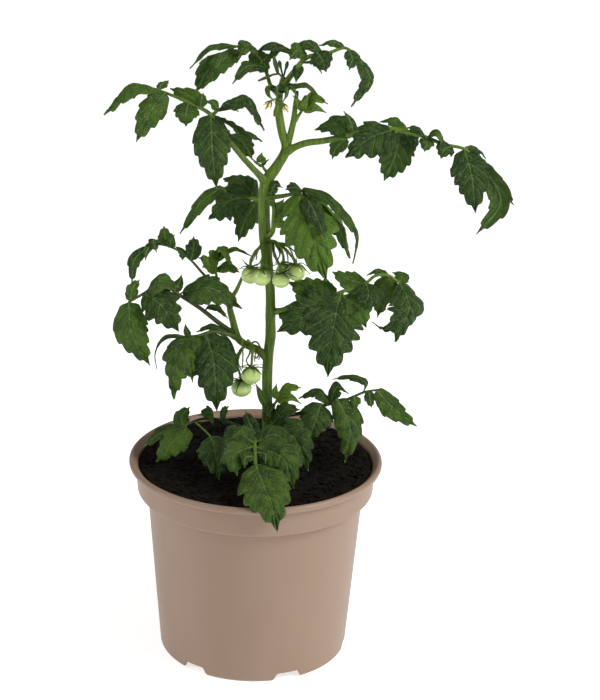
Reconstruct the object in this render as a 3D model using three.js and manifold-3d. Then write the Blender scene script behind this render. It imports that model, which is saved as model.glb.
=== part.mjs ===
// A young tomato plant with green fruit, standing in a nursery pot.
// Millimetres, +Z up. The origin is on the pot's axis, on the ground it stands on.
// The plant's front looks along -Y, and +X is to its right.
import * as THREE from 'three';
import { mergeVertices } from 'three/addons/utils/BufferGeometryUtils.js';
import Module from 'manifold-3d';

const wasm = await Module();
wasm.setup();

// Pot
const POT_RIM_DIAMETER = 190;
const POT_HEIGHT = 153.5;
const LIP_WIDTH = 3.4;
const LIP_SLOPE_DEPTH = 3.8;
const LIP_DEPTH = 5;
const COLLAR_TOP_RADIUS = 89.8;
const COLLAR_FOOT_RADIUS = 88.8;
const COLLAR_FOOT_HEIGHT = 128.5;
const BODY_TOP_RADIUS = 81.3;
const BODY_FOOT_RADIUS = 70.9;
const WALL = 1.8;
const THIN_WALL = 1.4;
const FLOOR = 2.4;
const CENTRE_PAD_RADIUS = 44;
const CHANNEL_HEIGHT = 8;
const FOOT_RING_WIDTH = 3.5;
const FOOT_ROUNDING = 2;
const POT_SIDES = 36;
const NOTCHES = 6;
const FIRST_NOTCH_ANGLE = -38;
const NOTCH_WIDTH = 22;
const NOTCH_HEIGHT = 6.5;
const DRAIN_HOLES = 6;
const DRAIN_HOLE_RADIUS = 5;
const DRAIN_HOLE_CIRCLE = 57;

// Soil
const SOIL_HEIGHT = 149.6;
const SOIL_RINGS = 3;
const SOIL_SWELL = 1.6;

// Plant
const GAP = 0.3;
const SLIVER = 0.2;
const BLADE_THICKNESS = 1.2;
const BLADE_DROOP = 0.25;
const TIP_HALF_WIDTH = 0.35;
const WIDEST_PLACE_LEAN = 0.66;
const BLADE_FULLNESS = 0.85;
const PLAIN_STATIONS = [0.3, 0.7];
const PLAIN_BLADE_WIDTH = 9;
const TEETH_BY_WIDTH = [[26, 4], [15, 3], [PLAIN_BLADE_WIDTH, 2]];
const TOOTHED_SHARE = 0.86;
const FIRST_NOTCH = 0.04;
const NOTCH_REACH = 0.84;
const TOOTH_PLACE = 0.62;
const TOOTH_LEAN = 0.3;
const STALK_PLACES = 60;
const STALK_SIDES = 5;
const STALK_STEP = 11;
const TRUSS_STEP = 4;
const STEM_STEP = 12;
const STEM_SIDES = 7;
const FRUIT_SIDES = 10;
const FRUIT_ROWS = 7;
const FRUIT_DIMPLE = 0.9;
const NECK_HALF_WIDTH = 0.6;
const NECK_STAGGER = 0.15;
const FRUIT_STALK_RADII = [0.8, 0.8, 1];
const SEPALS = 5;
const SEPAL_REACH = 1.25;
const SEPAL_THICKNESS = 0.8;
const CALYX_HEART = 1.5;
const BUD_SIDES = 6;
const ANTHER_RADII = [0.9, 1.2, 0.4];
const PETAL_RADII = [0.6, 1.1, 0.4];
const FLOWER_STEP = 3;
const THIN_STALK = 0.7;
const THIN_STALK_SIDES = 4;
const CROWN_HEIGHT = 440;
const PETALS = 5;

// The way a blade's upper side looks at its middle
const FRONT = [0.05, -1, 0.35];
const FRONT_UP = [0, -0.7, 0.8];
const UP = [0, -0.2, 1];
const LEFT_UP = [-0.7, -0.1, 0.7];
const RIGHT_UP = [0.7, -0.3, 0.7];
const LEFT = [-0.7, -0.8, 0.3];
const RIGHT = [0.6, -0.9, 0.3];
const BACK = [0.2, 1, 0.2];
const BACK_UP = [0.6, 0.5, 0.7];

// Main stem, its upper fork and the side branch: points from the root end, and radii at them
const STEMS = {
  trunk: {
    points: [
      [7, 0, 104], [7.5, 0, 143], [8, 0, 175], [7.7, 0, 202], [7.5, 0, 222], [7.9, 0, 235],
      [9.3, 1, 250], [9, 1, 262], [8.4, 0, 288], [4.5, 0, 320], [3.1, 0, 343], [2.9, 0, 358],
      [4, 0, 368], [12, 3, 380], [18, 5, 392], [14.6, 6, 405], [12.2, 7, 421], [13.5, 8, 437],
      [15, 8, 444],
    ],
    radii: [
      4.4, 4.4, 4.2, 3.8, 3.6, 3.8, 3.9, 3.8, 3.7, 3.5, 3.5, 3.8, 4.4, 4.1, 4, 3.4, 3, 2.6, 1.6,
    ],
  },
  fork: { points: [[18, 5, 390], [23, 4, 413], [24, 4, 425], [25, 6, 434]], radii: [2.6, 2.3, 1.9, 1.2] },
  branch: {
    points: [
      [8, 0, 231], [1, -1, 239], [-7, -2, 243], [-14, -2, 248], [-18, 0, 260], [-21, 2, 275],
      [-16, 2, 285], [-12, 2, 295],
    ],
    radii: [3, 2.9, 2.6, 2.7, 2.5, 1.9, 1.5, 1.1],
  },
};

// Compound leaves: the stalk's points from the stem out, its first and last radius, and the
// leaflets, each as the points of its midrib, its width and the way its upper side looks
const LEAVES = {
  leaf_upper_left: {
    stalk: [
      [3, -2, 370], [-14, -6, 389.5], [-26, -10, 406], [-36, -12, 421], [-50, -10, 428],
      [-63, -8, 433], [-75, -6, 437],
    ],
    thick: [2.4, 0.9],
    blades: [
      [[-36, -13, 421], [-34, -23, 398], [-31, -23, 370], 28, FRONT],
      [[-68, -9, 435], [-78, -17, 423], [-88, -20, 402], 20, FRONT],
      [[-52, -10, 428], [-53, -15, 421], [-53, -16, 413], 19, FRONT],
      [[-44, -9, 427], [-53, -1, 432.5], [-65, 3, 435], 16, FRONT_UP],
      [[-43, -11, 425], [-42, -14, 432], [-41, -14, 437], 9, FRONT],
      [[-30, -12, 425], [-11, -15, 433], [2, -13, 410], 20, RIGHT_UP],
      [[-31, -12, 424], [-34, -13, 430], [-40, -12, 430], 8, FRONT_UP],
      [[-29, -10, 417], [-14, 0, 407], [1, 5, 397], 18, UP],
      [[-21, -7, 405], [-11, 1, 395], [-6, 2, 384], 17, BACK],
      [[-74, -6, 437], [-91, -7, 438], [-111, -9, 418], 20, UP],
      [[-72, -6, 437], [-70, -2, 440], [-66, 2, 441], 9, UP],
      [[-30, -12, 424], [-24, -15, 430], [-16, -15, 424], 9, FRONT_UP],
    ],
  },
  leaf_top_left: {
    stalk: [
      [12, 8, 431], [7, 15, 434], [2, 24, 446], [-2, 28, 454], [-9, 28, 458],
      [-18, 26, 461], [-29, 23, 456],
    ],
    thick: [1.6, 0.8],
    blades: [
      [[-19, 27, 461], [-38, 30, 459], [-52, 30, 443], 12, LEFT_UP],
      [[-17, 24, 459], [-29, 12, 454], [-39.5, 6, 437], 17, FRONT_UP],
      [[-29, 22, 455], [-40, 20, 443], [-47, 17, 429], 17, BACK],
      [[-4, 26, 458], [-11, 15, 465], [-17, 8, 457], 16, FRONT_UP],
      [[-4, 28, 457], [6, 22, 464], [25, 16, 458], 14, UP],
      [[4, 22, 455], [13, 17, 463], [20, 14, 459], 8, FRONT_UP],
      [[4, 22, 446], [-11, 10, 450.5], [-21, 6, 438.5], 12, FRONT_UP],
      [[-8, 28, 457], [-1, 33, 451], [4, 32, 440], 17, BACK],
    ],
  },
  leaf_top_right: {
    stalk: [[15, 8, 437], [24, 4, 451], [31, 0, 460], [47, -4, 465], [58, -6, 469], [66, -6, 464]],
    thick: [2.3, 0.8],
    blades: [
      [[66, -6, 463], [76, -9, 448], [63, -11, 428], 18, RIGHT_UP],
      [[38, -3, 465], [42, -10, 461], [45, -12, 453], 18, FRONT],
      [[60, -6, 468], [63, -12, 463], [61, -13, 455], 12, FRONT],
      [[56, -4, 469], [49, 3, 471.5], [40, 8, 467], 11, UP],
      [[40, -1, 464], [31, 6, 470], [22, 11, 465], 14, UP],
      [[29, 2, 456], [37, -5, 458.8], [42, -7, 450.3], 8, RIGHT_UP],
      [[27, 3, 454], [25, 1, 449], [24, 0, 442], 8, FRONT],
      [[31, 1, 461], [25, -2, 466], [19, -3, 459], 13, FRONT],
    ],
  },
  leaf_upper_right: {
    stalk: [
      [19, 4, 391], [31, -2, 398], [45, -8, 402], [59, -14, 407], [78, -21, 415],
      [93, -25, 416], [111, -28, 413], [129, -30, 407], [143, -32, 404.5], [157, -32, 393.5],
    ],
    thick: [2.6, 0.9],
    blades: [
      [[66, -16, 409], [54, -9, 415], [38, -5, 409], 20, FRONT_UP],
      [[60, -13, 406], [53.5, -8, 397], [51, -6, 388], 12, BACK],
      [[66, -16, 410], [63, -14, 418], [58, -12, 425], 7, FRONT],
      [[93, -26, 416], [77, -36, 413], [59, -40, 399], 33, FRONT_UP],
      [[98, -22, 413], [95, -19, 395], [88, -17, 376], 27, BACK],
      [[101, -20, 414], [93, -14, 420], [84, -9, 417], 14, UP],
      [[101, -24, 414], [105, -24, 407], [106, -24, 397], 15, FRONT],
      [[115, -28, 411], [109, -31, 419], [102, -30, 419], 12, UP],
      [[118, -28, 411], [116.5, -33, 410], [114.5, -35, 403], 12, FRONT],
      [[130, -29, 405], [123, -31, 417], [116, -27, 411], 13, UP],
      [[134, -31, 406], [129, -36, 406], [126, -38, 399], 15, FRONT],
      [[143, -32, 405], [148.5, -43, 386], [151.5, -45, 362], 28, FRONT],
      [[157, -32, 393], [170, -34, 367], [154, -35, 343], 17, BACK],
      [[162, -32, 385], [171, -30, 375], [180, -28, 363], 10, BACK],
      [[156, -32, 394], [162, -30, 392], [168, -28, 383], 9, UP],
      [[144, -31, 405], [152, -27, 403.5], [159, -25, 396], 12, UP],
    ],
  },
  leaf_middle_left: {
    stalk: [[1, 2.5, 354], [-9, 14, 352], [-21, 22, 352], [-28, 26, 356]],
    thick: [1.9, 0.9],
    blades: [
      [[-28, 26, 356], [-43, 31, 343], [-59, 33, 317], 12, LEFT],
      [[-7, 11, 353], [-21, 17, 349], [-37, 20, 333], 34, FRONT_UP],
      [[-5, 12, 353], [-15, 22, 364], [-27, 32, 360], 27, UP],
      [[-3, 8, 351], [-10, 15, 336], [-15.5, 18, 317], 19, BACK],
    ],
  },
  leaf_middle_right: {
    stalk: [[5, -2, 357], [19, -8, 361], [31, -12, 366]],
    thick: [1.9, 1.1],
    blades: [
      [[30, -12, 367], [49.5, -8, 359.5], [70, -6, 333], [68.5, -6, 309.5], 15, RIGHT_UP],
      [[31, -13, 365], [54, -13, 346], [65, -14, 316], 28, BACK_UP],
      [[28, -15, 365], [38, -38, 340], [48, -44, 309], 43, FRONT],
      [[29, -13, 367], [24, -17, 370], [18, -20, 369], 12, FRONT_UP],
      [[8, -4, 360], [11, -7, 369], [16, -9, 367], 9, FRONT_UP],
      [[31, -14, 364], [36.5, -30, 360.5], [47.5, -44, 340], 15, FRONT],
    ],
  },
  leaf_middle: {
    stalk: [
      [12, 0, 269], [30, -10, 278], [48, -20, 287], [59, -25, 294], [77, -24, 301],
      [84, -22, 306], [93, -20, 306], [102, -19, 300],
    ],
    thick: [1.9, 0.9],
    blades: [
      [[59, -26, 293], [54, -40, 271], [51, -43, 236], 45, FRONT],
      [[57, -26, 291], [36, -32, 279], [14, -28, 264], 37, FRONT],
      [[56, -24, 291], [39, -19, 294], [21, -14, 297], 26, FRONT_UP],
      [[43, -17, 283], [27.5, -8, 274.3], [12.5, 6.5, 265.7], 24, FRONT_UP],
      [[61, -27, 292], [72, -33, 285], [78, -32, 270], 26, FRONT],
      [[77, -24, 300], [65, -22, 303], [53, -20, 308], 18, FRONT_UP],
      [[77, -25, 301], [79, -34, 295], [74, -37, 286], 25, FRONT],
      [[102, -20, 300], [109, -28, 286], [99.5, -28, 258], 33, RIGHT],
      [[93, -19, 305], [90, -10, 292], [93, -8, 275], 14, BACK],
      [[98, -17, 301], [103, -12, 274], [93, -11, 261], [83, -12, 267], 9, BACK],
      [[94, -20, 304], [91, -14, 290], [87, -13, 271], 18, FRONT],
      [[93, -20, 305], [85, -15, 308], [78, -13, 303], 10, UP],
      [[102, -18, 300], [104, -12, 304], [97, -8, 304], 12, UP],
    ],
  },
  leaf_lower_right: {
    stalk: [[11, -2, 187], [31, -6, 191], [51, -8, 199], [65, -8, 203], [80, -8, 210], [90, -8, 212]],
    thick: [1.7, 0.8],
    blades: [
      [[89, -8, 211], [102, -13, 199], [119, -17, 187], 18, FRONT_UP],
      [[59, -10, 205], [69.5, -20, 187], [66, -25, 160], 22, FRONT],
      [[48, -10, 201], [44, -18, 191], [39.5, -21, 175.5], 26, FRONT],
      [[54, -8, 201], [45, -3, 208], [31, -3, 202], 16, UP],
      [[72, -9, 207], [73, -12, 204], [72, -14, 199], 9, FRONT],
      [[83, -9, 211], [84, -12, 205], [85, -14, 200], 9, FRONT],
      [[79, -8, 210], [81, -6, 216], [71, -2, 220], [56, 2, 216], 10, UP],
      [[55, -7, 201], [60, -8, 214], [68, -9, 209], 11, FRONT_UP],
    ],
  },
  leaf_front: {
    stalk: [[7, -4, 168], [1, -26, 181], [-1, -48, 185], [0, -66, 176]],
    thick: [1.9, 1.2],
    blades: [
      [[0, -66, 177], [6, -86, 169], [13, -99, 157], [16, -102, 140], 40, FRONT_UP],
      [[1, -52, 183], [20, -62, 179], [28, -68, 158], 30, FRONT],
      [[1, -46, 185], [13, -44, 190], [25, -48, 184], 21, FRONT_UP],
      [[-2, -50, 186], [-12, -48, 192], [-22, -47, 185], 18, FRONT_UP],
      [[1, -28, 181], [-19, -36, 192], [-26, -44, 166], 14, LEFT_UP],
      [[-3, -53, 184], [-16, -60, 179], [-13, -65, 166], 20, FRONT],
      [[1, -57, 181], [7, -61, 182], [7, -65, 176], 9, FRONT],
      [[-1, -60, 180], [-7, -63, 180], [-8, -66, 173], 9, FRONT],
      [[1, -28, 182], [-5, -26, 192], [-8, -24, 200], 12, FRONT],
    ],
  },
  leaf_front_right: {
    stalk: [[9.5, -3, 177], [12, -16, 187]],
    thick: [1.5, 1.1],
    blades: [
      [[12, -15, 187], [29, -29, 180], [39, -39, 159], 28, FRONT],
      [[12, -15, 187], [21, -19, 199], [32, -22, 201], 17, FRONT_UP],
      [[11, -13, 185], [10, -12, 194], [14, -10, 199], 12, FRONT],
    ],
  },
  leaf_base_left: {
    stalk: [[5, 3, 170], [-12, 12, 172], [-26, 12, 177], [-39, 8, 180], [-52, -2, 179], [-56, -5, 177]],
    thick: [1.5, 0.9],
    blades: [
      [[-32, 9, 178], [-34, 1, 188], [-43, -5, 188], 14, FRONT_UP],
      [[-27, 10, 178], [-25, 1, 188], [-21, -3, 195], 12, FRONT_UP],
      [[-34, -12, 174], [-30, -33, 169], [-26.5, -48, 155], 27, FRONT_UP],
      [[-52, -5, 177], [-62, -14, 170], [-74, -18, 155], 22, FRONT_UP],
      [[-55, -5, 178], [-71, -7, 174], [-84, -9, 163], 12, FRONT_UP],
      [[-54, -4, 178], [-56, 2, 184], [-50, 6, 190], 13, FRONT_UP],
    ],
  },
  leaf_side_left: {
    stalk: [
      [-18, -1, 252], [-30, -6, 263], [-43, -10, 275], [-56, -14, 285], [-71, -16, 295],
      [-83, -18, 288], [-94, -18, 281],
    ],
    thick: [1.9, 0.9],
    blades: [
      [[-55, -14, 288], [-33, -24, 295], [-12, -22, 279], 26, FRONT_UP],
      [[-37.5, -8, 274], [-30, -5, 274], [-22, -5, 265], 10, UP],
      [[-81, -17, 290], [-71, -24, 300], [-57, -25, 296], 18, FRONT_UP],
      [[-83, -18, 288], [-70, -28, 283], [-57, -31, 264], 31, FRONT],
      [[-94, -18, 281], [-91, -28, 261], [-78, -30, 237], 26, FRONT],
      [[-92, -17, 282], [-91, -15, 291], [-86, -13, 297], 10, FRONT],
      [[-68, -15, 295], [-67, -13, 298], [-68, -11, 302], 8, FRONT],
      [[-61, -14, 290], [-57, -13, 296], [-56, -12, 301], 8, FRONT],
    ],
  },
  leaf_side_top: {
    stalk: [
      [-20, 2, 268], [-30, 6, 285], [-40, 8, 294], [-51, 12, 305], [-62, 14, 312],
      [-73, 14, 315], [-83, 12, 314],
    ],
    thick: [1.2, 0.7],
    blades: [
      [[-82, 12, 313], [-91, 8, 305], [-93, 6, 287], 10, FRONT_UP],
      [[-78, 13, 316], [-82, 8, 312], [-83, 6, 305], 6, FRONT],
      [[-71, 14, 316], [-77, 9, 320], [-75, 7, 311], 9, FRONT_UP],
      [[-67, 14, 314], [-69, 16, 321], [-70, 18, 328], 12, FRONT],
      [[-66, 13, 313], [-64, 11, 320], [-62, 10, 324], 8, FRONT],
      [[-50, 12, 303], [-48, 11, 314], [-48, 9, 323], 13, FRONT],
      [[-57, 13, 309], [-56, 11, 307], [-56, 11, 304], 5, FRONT],
      [[-55, 13, 308], [-58, 17, 311], [-62, 19, 312], 6, UP],
    ],
  },
  shoot_side_tip: {
    stalk: [[-21, 1, 272], [-27, 0, 285], [-31, 3, 296], [-31, 5, 309]],
    thick: [1.2, 0.9],
    blades: [
      [[-31, 3, 297], [-39, 2, 308], [-44, 0, 310], 10, FRONT_UP],
      [[-31, 3, 301], [-36, -3, 312], [-41, -5, 304], 12, FRONT],
      [[-31, 5, 307], [-27.5, -1, 319.5], [-19.5, -5, 307], 13, RIGHT_UP],
      [[-31, 5, 307], [-25, 0, 315], [-21, -2, 306], 9, FRONT_UP],
      [[-31, 5, 299], [-24, 3, 303], [-14, 1, 299], 11, FRONT_UP],
      [[-31, 5, 306], [-19, 5, 316], [-5, 2, 311], 8, UP],
    ],
  },
  leaf_hanging_left: {
    stalk: [[-16, -4, 250], [-23, -10, 255], [-33, -14, 258], [-44, -18, 256], [-52, -17, 255]],
    thick: [1.7, 0.9],
    blades: [
      [[-43, -18, 256], [-55, -25, 252], [-61, -31, 236], [-60, -33, 212], 30, LEFT],
      [[-38, -16, 257], [-32, -27, 242], [-29, -35, 204], 36, FRONT],
      [[-22, -10, 255], [-34, -7, 260], [-45, -7, 255], 12, UP],
      [[-51, -17, 255], [-68, -15, 254], [-75, -14, 241], [-74, -14, 228], 7, LEFT_UP],
      [[-50, -16, 255], [-52, -14, 258], [-53, -12, 263], 5, FRONT],
      [[-46, -18, 256], [-49, -24, 245], [-47, -27, 223], 14, FRONT],
      [[-26, -13, 255], [-20, -10, 243], [-14, -6, 229], 7, FRONT],
    ],
  },
  shoot_axil_upper: {
    stalk: [[5, 1.5, 375], [2, 1, 379], [1, 0.5, 386]],
    thick: [0.9, 0.8],
    blades: [
      [[1.9, 0.9, 380], [-3, -1, 383], [-7, -1, 387], 5, UP],
      [[1.5, 0.7, 382.5], [0, -2, 387], [1, -3, 391], 7, FRONT],
      [[1.7, 0.8, 381], [4, 0, 384], [6, 1, 385], 5, UP],
    ],
  },
  shoot_axil_middle: {
    stalk: [[6, -2.5, 328], [9.5, -6, 333], [10, -8, 342], [10.4, -8.5, 353]],
    thick: [1.8, 1.6],
    blades: [
      [[11, -8, 348], [14.5, -10, 354.5], [17, -11, 359], 8, FRONT],
      [[11, -8.5, 344], [17, -11, 349], [22, -14, 349], 10, FRONT_UP],
      [[11, -8.5, 342], [15, -10, 340.5], [20, -11, 342.5], 8, FRONT],
      [[10.4, -9, 352], [9, -10, 356], [11, -11, 360], 5, FRONT],
    ],
  },
  shoot_axil_lower: {
    stalk: [[9.5, -3, 194], [14, -7, 200], [16, -8, 206]],
    thick: [1.2, 0.8],
    blades: [
      [[15.5, -8, 203], [13.5, -9, 209], [14.5, -9, 216], 6, FRONT],
      [[16, -8, 205], [24, -9, 213], [33, -9, 213], 10, FRONT_UP],
      [[15, -7, 202], [25, -10, 206], [33, -11, 201], 8, FRONT_UP],
      [[10, -4, 195.5], [4, -8, 205], [-1, -8, 215.5], 8, FRONT],
    ],
  },
  shoot_tip_right: {
    stalk: [[24, 4, 413], [27, 3, 418], [30, 2, 423]],
    thick: [1.2, 0.9],
    blades: [
      [[29, 2, 422], [38, 0, 431], [47, -2, 427.5], 10, FRONT_UP],
      [[29, 2, 422], [38, -4, 425], [46, -6, 422], 7, FRONT],
      [[29, 2, 422], [33, 4, 428], [38, 4, 435], 9, FRONT],
      [[29, 2, 421], [30, -3, 427], [33, -5, 434], 6, FRONT],
      [[28.5, 2, 421], [26, -1, 428], [22, -2, 433], 5, FRONT],
    ],
  },
  shoot_tip_top: {
    stalk: [[14, 7, 433], [13, 2, 434], [12, 0, 436]],
    thick: [1.1, 1.1, 0.9],
    blades: [
      [[12, 1, 436], [4, -7, 441], [4.5, -12, 436], [9, -14, 431.5], 7, LEFT],
      [[12, 1, 435], [17.5, -8, 441], [17.5, -12, 436], [15, -14, 431.5], 7, RIGHT],
      [[12, 0, 435], [11, -9, 441.5], [10.5, -12, 436], 8, FRONT],
      [[13, 0, 436], [21, -4, 440], [25, -6, 433], 8, FRONT_UP],
      [[15, 1, 437], [31, -1, 441], [41, -4, 433], 9, UP],
    ],
  },
};

// Green fruit: centre, radius, half height
const FRUITS = {
  tomato_upper_1: { centre: [-6, -11.5, 301.2], radius: 6.7, half: 6.3 },
  tomato_upper_2: { centre: [1.9, -23, 303.8], radius: 6.7, half: 6.2 },
  tomato_upper_3: { centre: [16, -26, 302.9], radius: 6.4, half: 5.5 },
  tomato_upper_4: { centre: [26.8, -17, 306], radius: 6.8, half: 6.2 },
  tomato_upper_5: { centre: [18.2, -6.5, 303.2], radius: 5.8, half: 5.6 },
  tomato_lower_1: { centre: [-4.4, -20, 226.7], radius: 7.3, half: 6.4 },
  tomato_lower_2: { centre: [-11.4, -15, 214.5], radius: 7.7, half: 6.4 },
};

// Fruit stalks: the peduncle's points, its radii, and the stalk point that each fruit hangs from
const TRUSSES = {
  truss_upper: {
    points: [[3.5, -3.5, 323], [7, -8, 326], [12, -10, 326], [13, -11, 323]],
    thick: [1.9, 1.2],
    fruits: {
      tomato_upper_1: [[5.5, -6, 325], [-2, -11, 320], [-6, -12, 313]],
      tomato_upper_2: [[7, -8, 325.5], [3, -17, 319], [2, -22, 314]],
      tomato_upper_3: [[10, -9.5, 326], [11, -19, 320], [15, -25, 313]],
      tomato_upper_4: [[12, -10, 326], [18, -14, 323], [24, -16, 317]],
      tomato_upper_5: [[12, -10, 326], [17, -8, 317]],
    },
  },
  truss_lower: {
    points: [[3, -4, 239], [-2, -8, 244], [-8, -11, 247], [-13, -14, 243]],
    thick: [1.6, 1.1],
    fruits: {
      tomato_lower_1: [[-8, -11, 247], [-4, -17, 246], [-4, -20, 239]],
      tomato_lower_2: [[-12, -14, 244], [-15, -14, 234], [-13, -14, 226]],
    },
  },
};

// Flowers and buds at the top: neck, tip and radius of each
const FLOWERS = {
  flower_left: { neck: [6.5, -9, 430.5], tip: [1.8, -12, 424], "spread": 1 },
  flower_right: { neck: [15.4, -9, 428.6], tip: [19.6, -12, 422], "spread": 0.4 },
};
const FLOWER_STALK = { points: [[13, 7, 428], [11, -4, 430], [10, -8, 429]], thick: [1.1, 0.8] };
const FLOWER_PEDICELS = [
  [[11, -4, 430], [9, -7, 431.5], [6.5, -9, 430.5]],
  [[11, -4, 430], [13.5, -7, 430], [15.4, -9, 428.6]],
];
const BUDS = [
  { stalk: [[15, 8, 443], [11, 8, 447]], neck: [11, 8, 447], tip: [8, 7, 459], radius: 1.6 },
  { stalk: [[15, 8, 443], [17, 12, 450]], neck: [17, 12, 449], tip: [18, 13, 454], radius: 1.3 },
  { stalk: [[15, 8, 443], [13, 14, 450]], neck: [13, 14, 449], tip: [12, 15, 454], radius: 1.3 },
  { stalk: [[12, 8, 446], [8, 10, 445]], neck: [8, 10, 445], tip: [-3, 6, 441], radius: 1 },
  { stalk: [[10, -8, 430], [11, -10, 427]], neck: [11, -10, 428], tip: [9, -11, 420], radius: 1.4 },
];

// A closed geometry as a solid that can be joined and cut
function toSolid(geometry) {
  geometry.deleteAttribute('normal');
  geometry.deleteAttribute('uv');
  const merged = mergeVertices(geometry, 1e-4);
  const mesh = new wasm.Mesh({
    numProp: 3,
    vertProperties: new Float32Array(merged.attributes.position.array),
    triVerts: new Uint32Array(merged.index.array),
  });
  return new wasm.Manifold(mesh);
}

// A solid's geometry. Slivers are merged, and loose scraps that a cut leaves are dropped.
function toGeometry(solid) {
  const pieces = solid.simplify(SLIVER).decompose().sort((a, b) => b.volume() - a.volume());
  const mesh = pieces[0].getMesh();
  const geometry = new THREE.BufferGeometry();
  geometry.setAttribute('position', new THREE.BufferAttribute(new Float32Array(mesh.vertProperties), 3));
  geometry.setIndex(new THREE.BufferAttribute(new Uint32Array(mesh.triVerts), 1));
  geometry.computeVertexNormals();
  return geometry;
}

function vector(point) {
  return new THREE.Vector3(point[0], point[1], point[2]);
}

function curveThrough(points) {
  return new THREE.CatmullRomCurve3(points.map(vector));
}

// A round section of radius 1, swept along the curve and then swelled to the radii at its points
function tube(points, radii, sides, { extra = 0, stride = STALK_STEP } = {}) {
  const curve = curveThrough(points);
  const steps = Math.max(1, Math.round(curve.getLength() / stride));
  const section = new THREE.Shape();
  for (let i = 0; i < sides; i++) {
    const angle = (2 * Math.PI * i) / sides;
    if (i === 0) section.moveTo(1, 0);
    else section.lineTo(Math.cos(angle), Math.sin(angle));
  }
  section.closePath();
  const geometry = new THREE.ExtrudeGeometry(section, { steps, extrudePath: curve, bevelEnabled: false });
  const centres = curve.getSpacedPoints(steps);
  const place = geometry.attributes.position;
  for (let i = 0; i < place.count; i++) {
    const vertex = new THREE.Vector3().fromBufferAttribute(place, i);
    let nearest = 0;
    centres.forEach((centre, k) => {
      if (centre.distanceTo(vertex) < centres[nearest].distanceTo(vertex)) nearest = k;
    });
    const along = curve.getUtoTmapping(nearest / steps) * (radii.length - 1);
    const low = Math.min(Math.floor(along), radii.length - 2);
    const radius = THREE.MathUtils.lerp(radii[low], radii[low + 1], along - low) + extra;
    vertex.sub(centres[nearest]).setLength(radius).add(centres[nearest]);
    place.setXYZ(i, vertex.x, vertex.y, vertex.z);
  }
  return toSolid(geometry);
}

// Half the width of a blade at a share t of its length
function halfWidth(t, wide) {
  return Math.max(TIP_HALF_WIDTH, (wide / 2) * Math.sin(Math.PI * t ** WIDEST_PLACE_LEAN) ** BLADE_FULLNESS);
}

// The places along a blade's midrib: notches and teeth in turn, from the stalk to the tip
function bladeStations(wide) {
  const stations = [{ t: 0, reach: NECK_HALF_WIDTH, forward: 0 }];
  if (wide < PLAIN_BLADE_WIDTH) {
    PLAIN_STATIONS.forEach((t) => stations.push({ t, reach: halfWidth(t, wide), forward: 0 }));
  } else {
    const teeth = TEETH_BY_WIDTH.find(([width]) => wide >= width)[1];
    const pitch = TOOTHED_SHARE / teeth;
    for (let i = 0; i < teeth; i++) {
      const notch = FIRST_NOTCH + i * pitch;
      const tooth = notch + TOOTH_PLACE * pitch;
      const hollow = NOTCH_REACH * halfWidth(notch + FIRST_NOTCH, wide);
      stations.push({ t: notch, reach: hollow, forward: 0 });
      stations.push({ t: tooth, reach: halfWidth(tooth, wide), forward: TOOTH_LEAN * pitch });
    }
  }
  stations.push({ t: 1, reach: TIP_HALF_WIDTH, forward: 0 });
  return stations;
}

// A leaf blade: two halves that fall away from the midrib and thin out to a toothed edge
function blade(rib, wide, face, neck = 0) {
  const curve = curveThrough(rib);
  const middle = curve.getTangentAt(neck + 0.5 * (1 - neck));
  const sideways = new THREE.Vector3().crossVectors(vector(face), middle).normalize();
  const stations = bladeStations(wide);
  if (neck > 0) stations.unshift({ t: -neck / (1 - neck), reach: NECK_HALF_WIDTH, forward: 0 });
  const positions = [];
  for (const { t, reach, forward } of stations) {
    const frame = (share) => {
      const where = THREE.MathUtils.clamp(neck + share * (1 - neck), 0, 1);
      const tangent = curve.getTangentAt(where);
      const across = sideways.clone().addScaledVector(tangent, -sideways.dot(tangent)).normalize();
      const normal = new THREE.Vector3().crossVectors(tangent, across);
      return { point: curve.getPointAt(where), across, normal };
    };
    const edge = (side) => {
      const { point, across, normal } = frame(t + forward);
      return point.addScaledVector(across, side * reach).addScaledVector(normal, -BLADE_DROOP * reach);
    };
    const ridge = (lift) => {
      const { point, normal } = frame(t);
      return point.addScaledVector(normal, lift);
    };
    const ring = [edge(-1), ridge(BLADE_THICKNESS / 2), edge(1), ridge(-BLADE_THICKNESS / 2)];
    ring.forEach((p) => positions.push(p.x, p.y, p.z));
  }
  const faces = [];
  for (let i = 0; i + 1 < stations.length; i++) {
    const [left, top, right, low] = [0, 1, 2, 3].map((k) => 4 * i + k);
    const far = 4;
    faces.push(left, left + far, top, left + far, top + far, top);
    faces.push(left, low, left + far, left + far, low, low + far);
    faces.push(top, top + far, right + far, top, right + far, right);
    faces.push(low, right + far, low + far, low, right, right + far);
  }
  const last = 4 * (stations.length - 1);
  faces.push(0, 1, 3, 1, 2, 3);
  faces.push(last, last + 3, last + 1, last + 1, last + 3, last + 2);
  const geometry = new THREE.BufferGeometry();
  geometry.setAttribute('position', new THREE.Float32BufferAttribute(positions, 3));
  geometry.setIndex(faces);
  return toSolid(geometry);
}

// A leaflet with its own short neck from the nearest place on the leaf's stalk. The necks
// are staggered a little, so that no two of them meet at one point.
function leaflet(stalk, rib, wide, face, index) {
  const start = vector(rib[0]);
  const near = curveThrough(stalk).getSpacedPoints(STALK_PLACES)
    .reduce((best, p) => (p.distanceTo(start) < best.distanceTo(start) ? p : best));
  near.x += NECK_STAGGER * Math.sin(2.4 * index + 1);
  near.y += NECK_STAGGER * Math.cos(1.7 * index);
  near.z += NECK_STAGGER * Math.sin(3.1 * index + 2);
  const reach = near.distanceTo(start);
  if (reach < 2 * NECK_HALF_WIDTH) return blade([near.toArray(), ...rib.slice(1)], wide, face);
  const neck = reach / (reach + curveThrough(rib).getLength());
  return blade([near.toArray(), ...rib], wide, face, neck);
}

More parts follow.
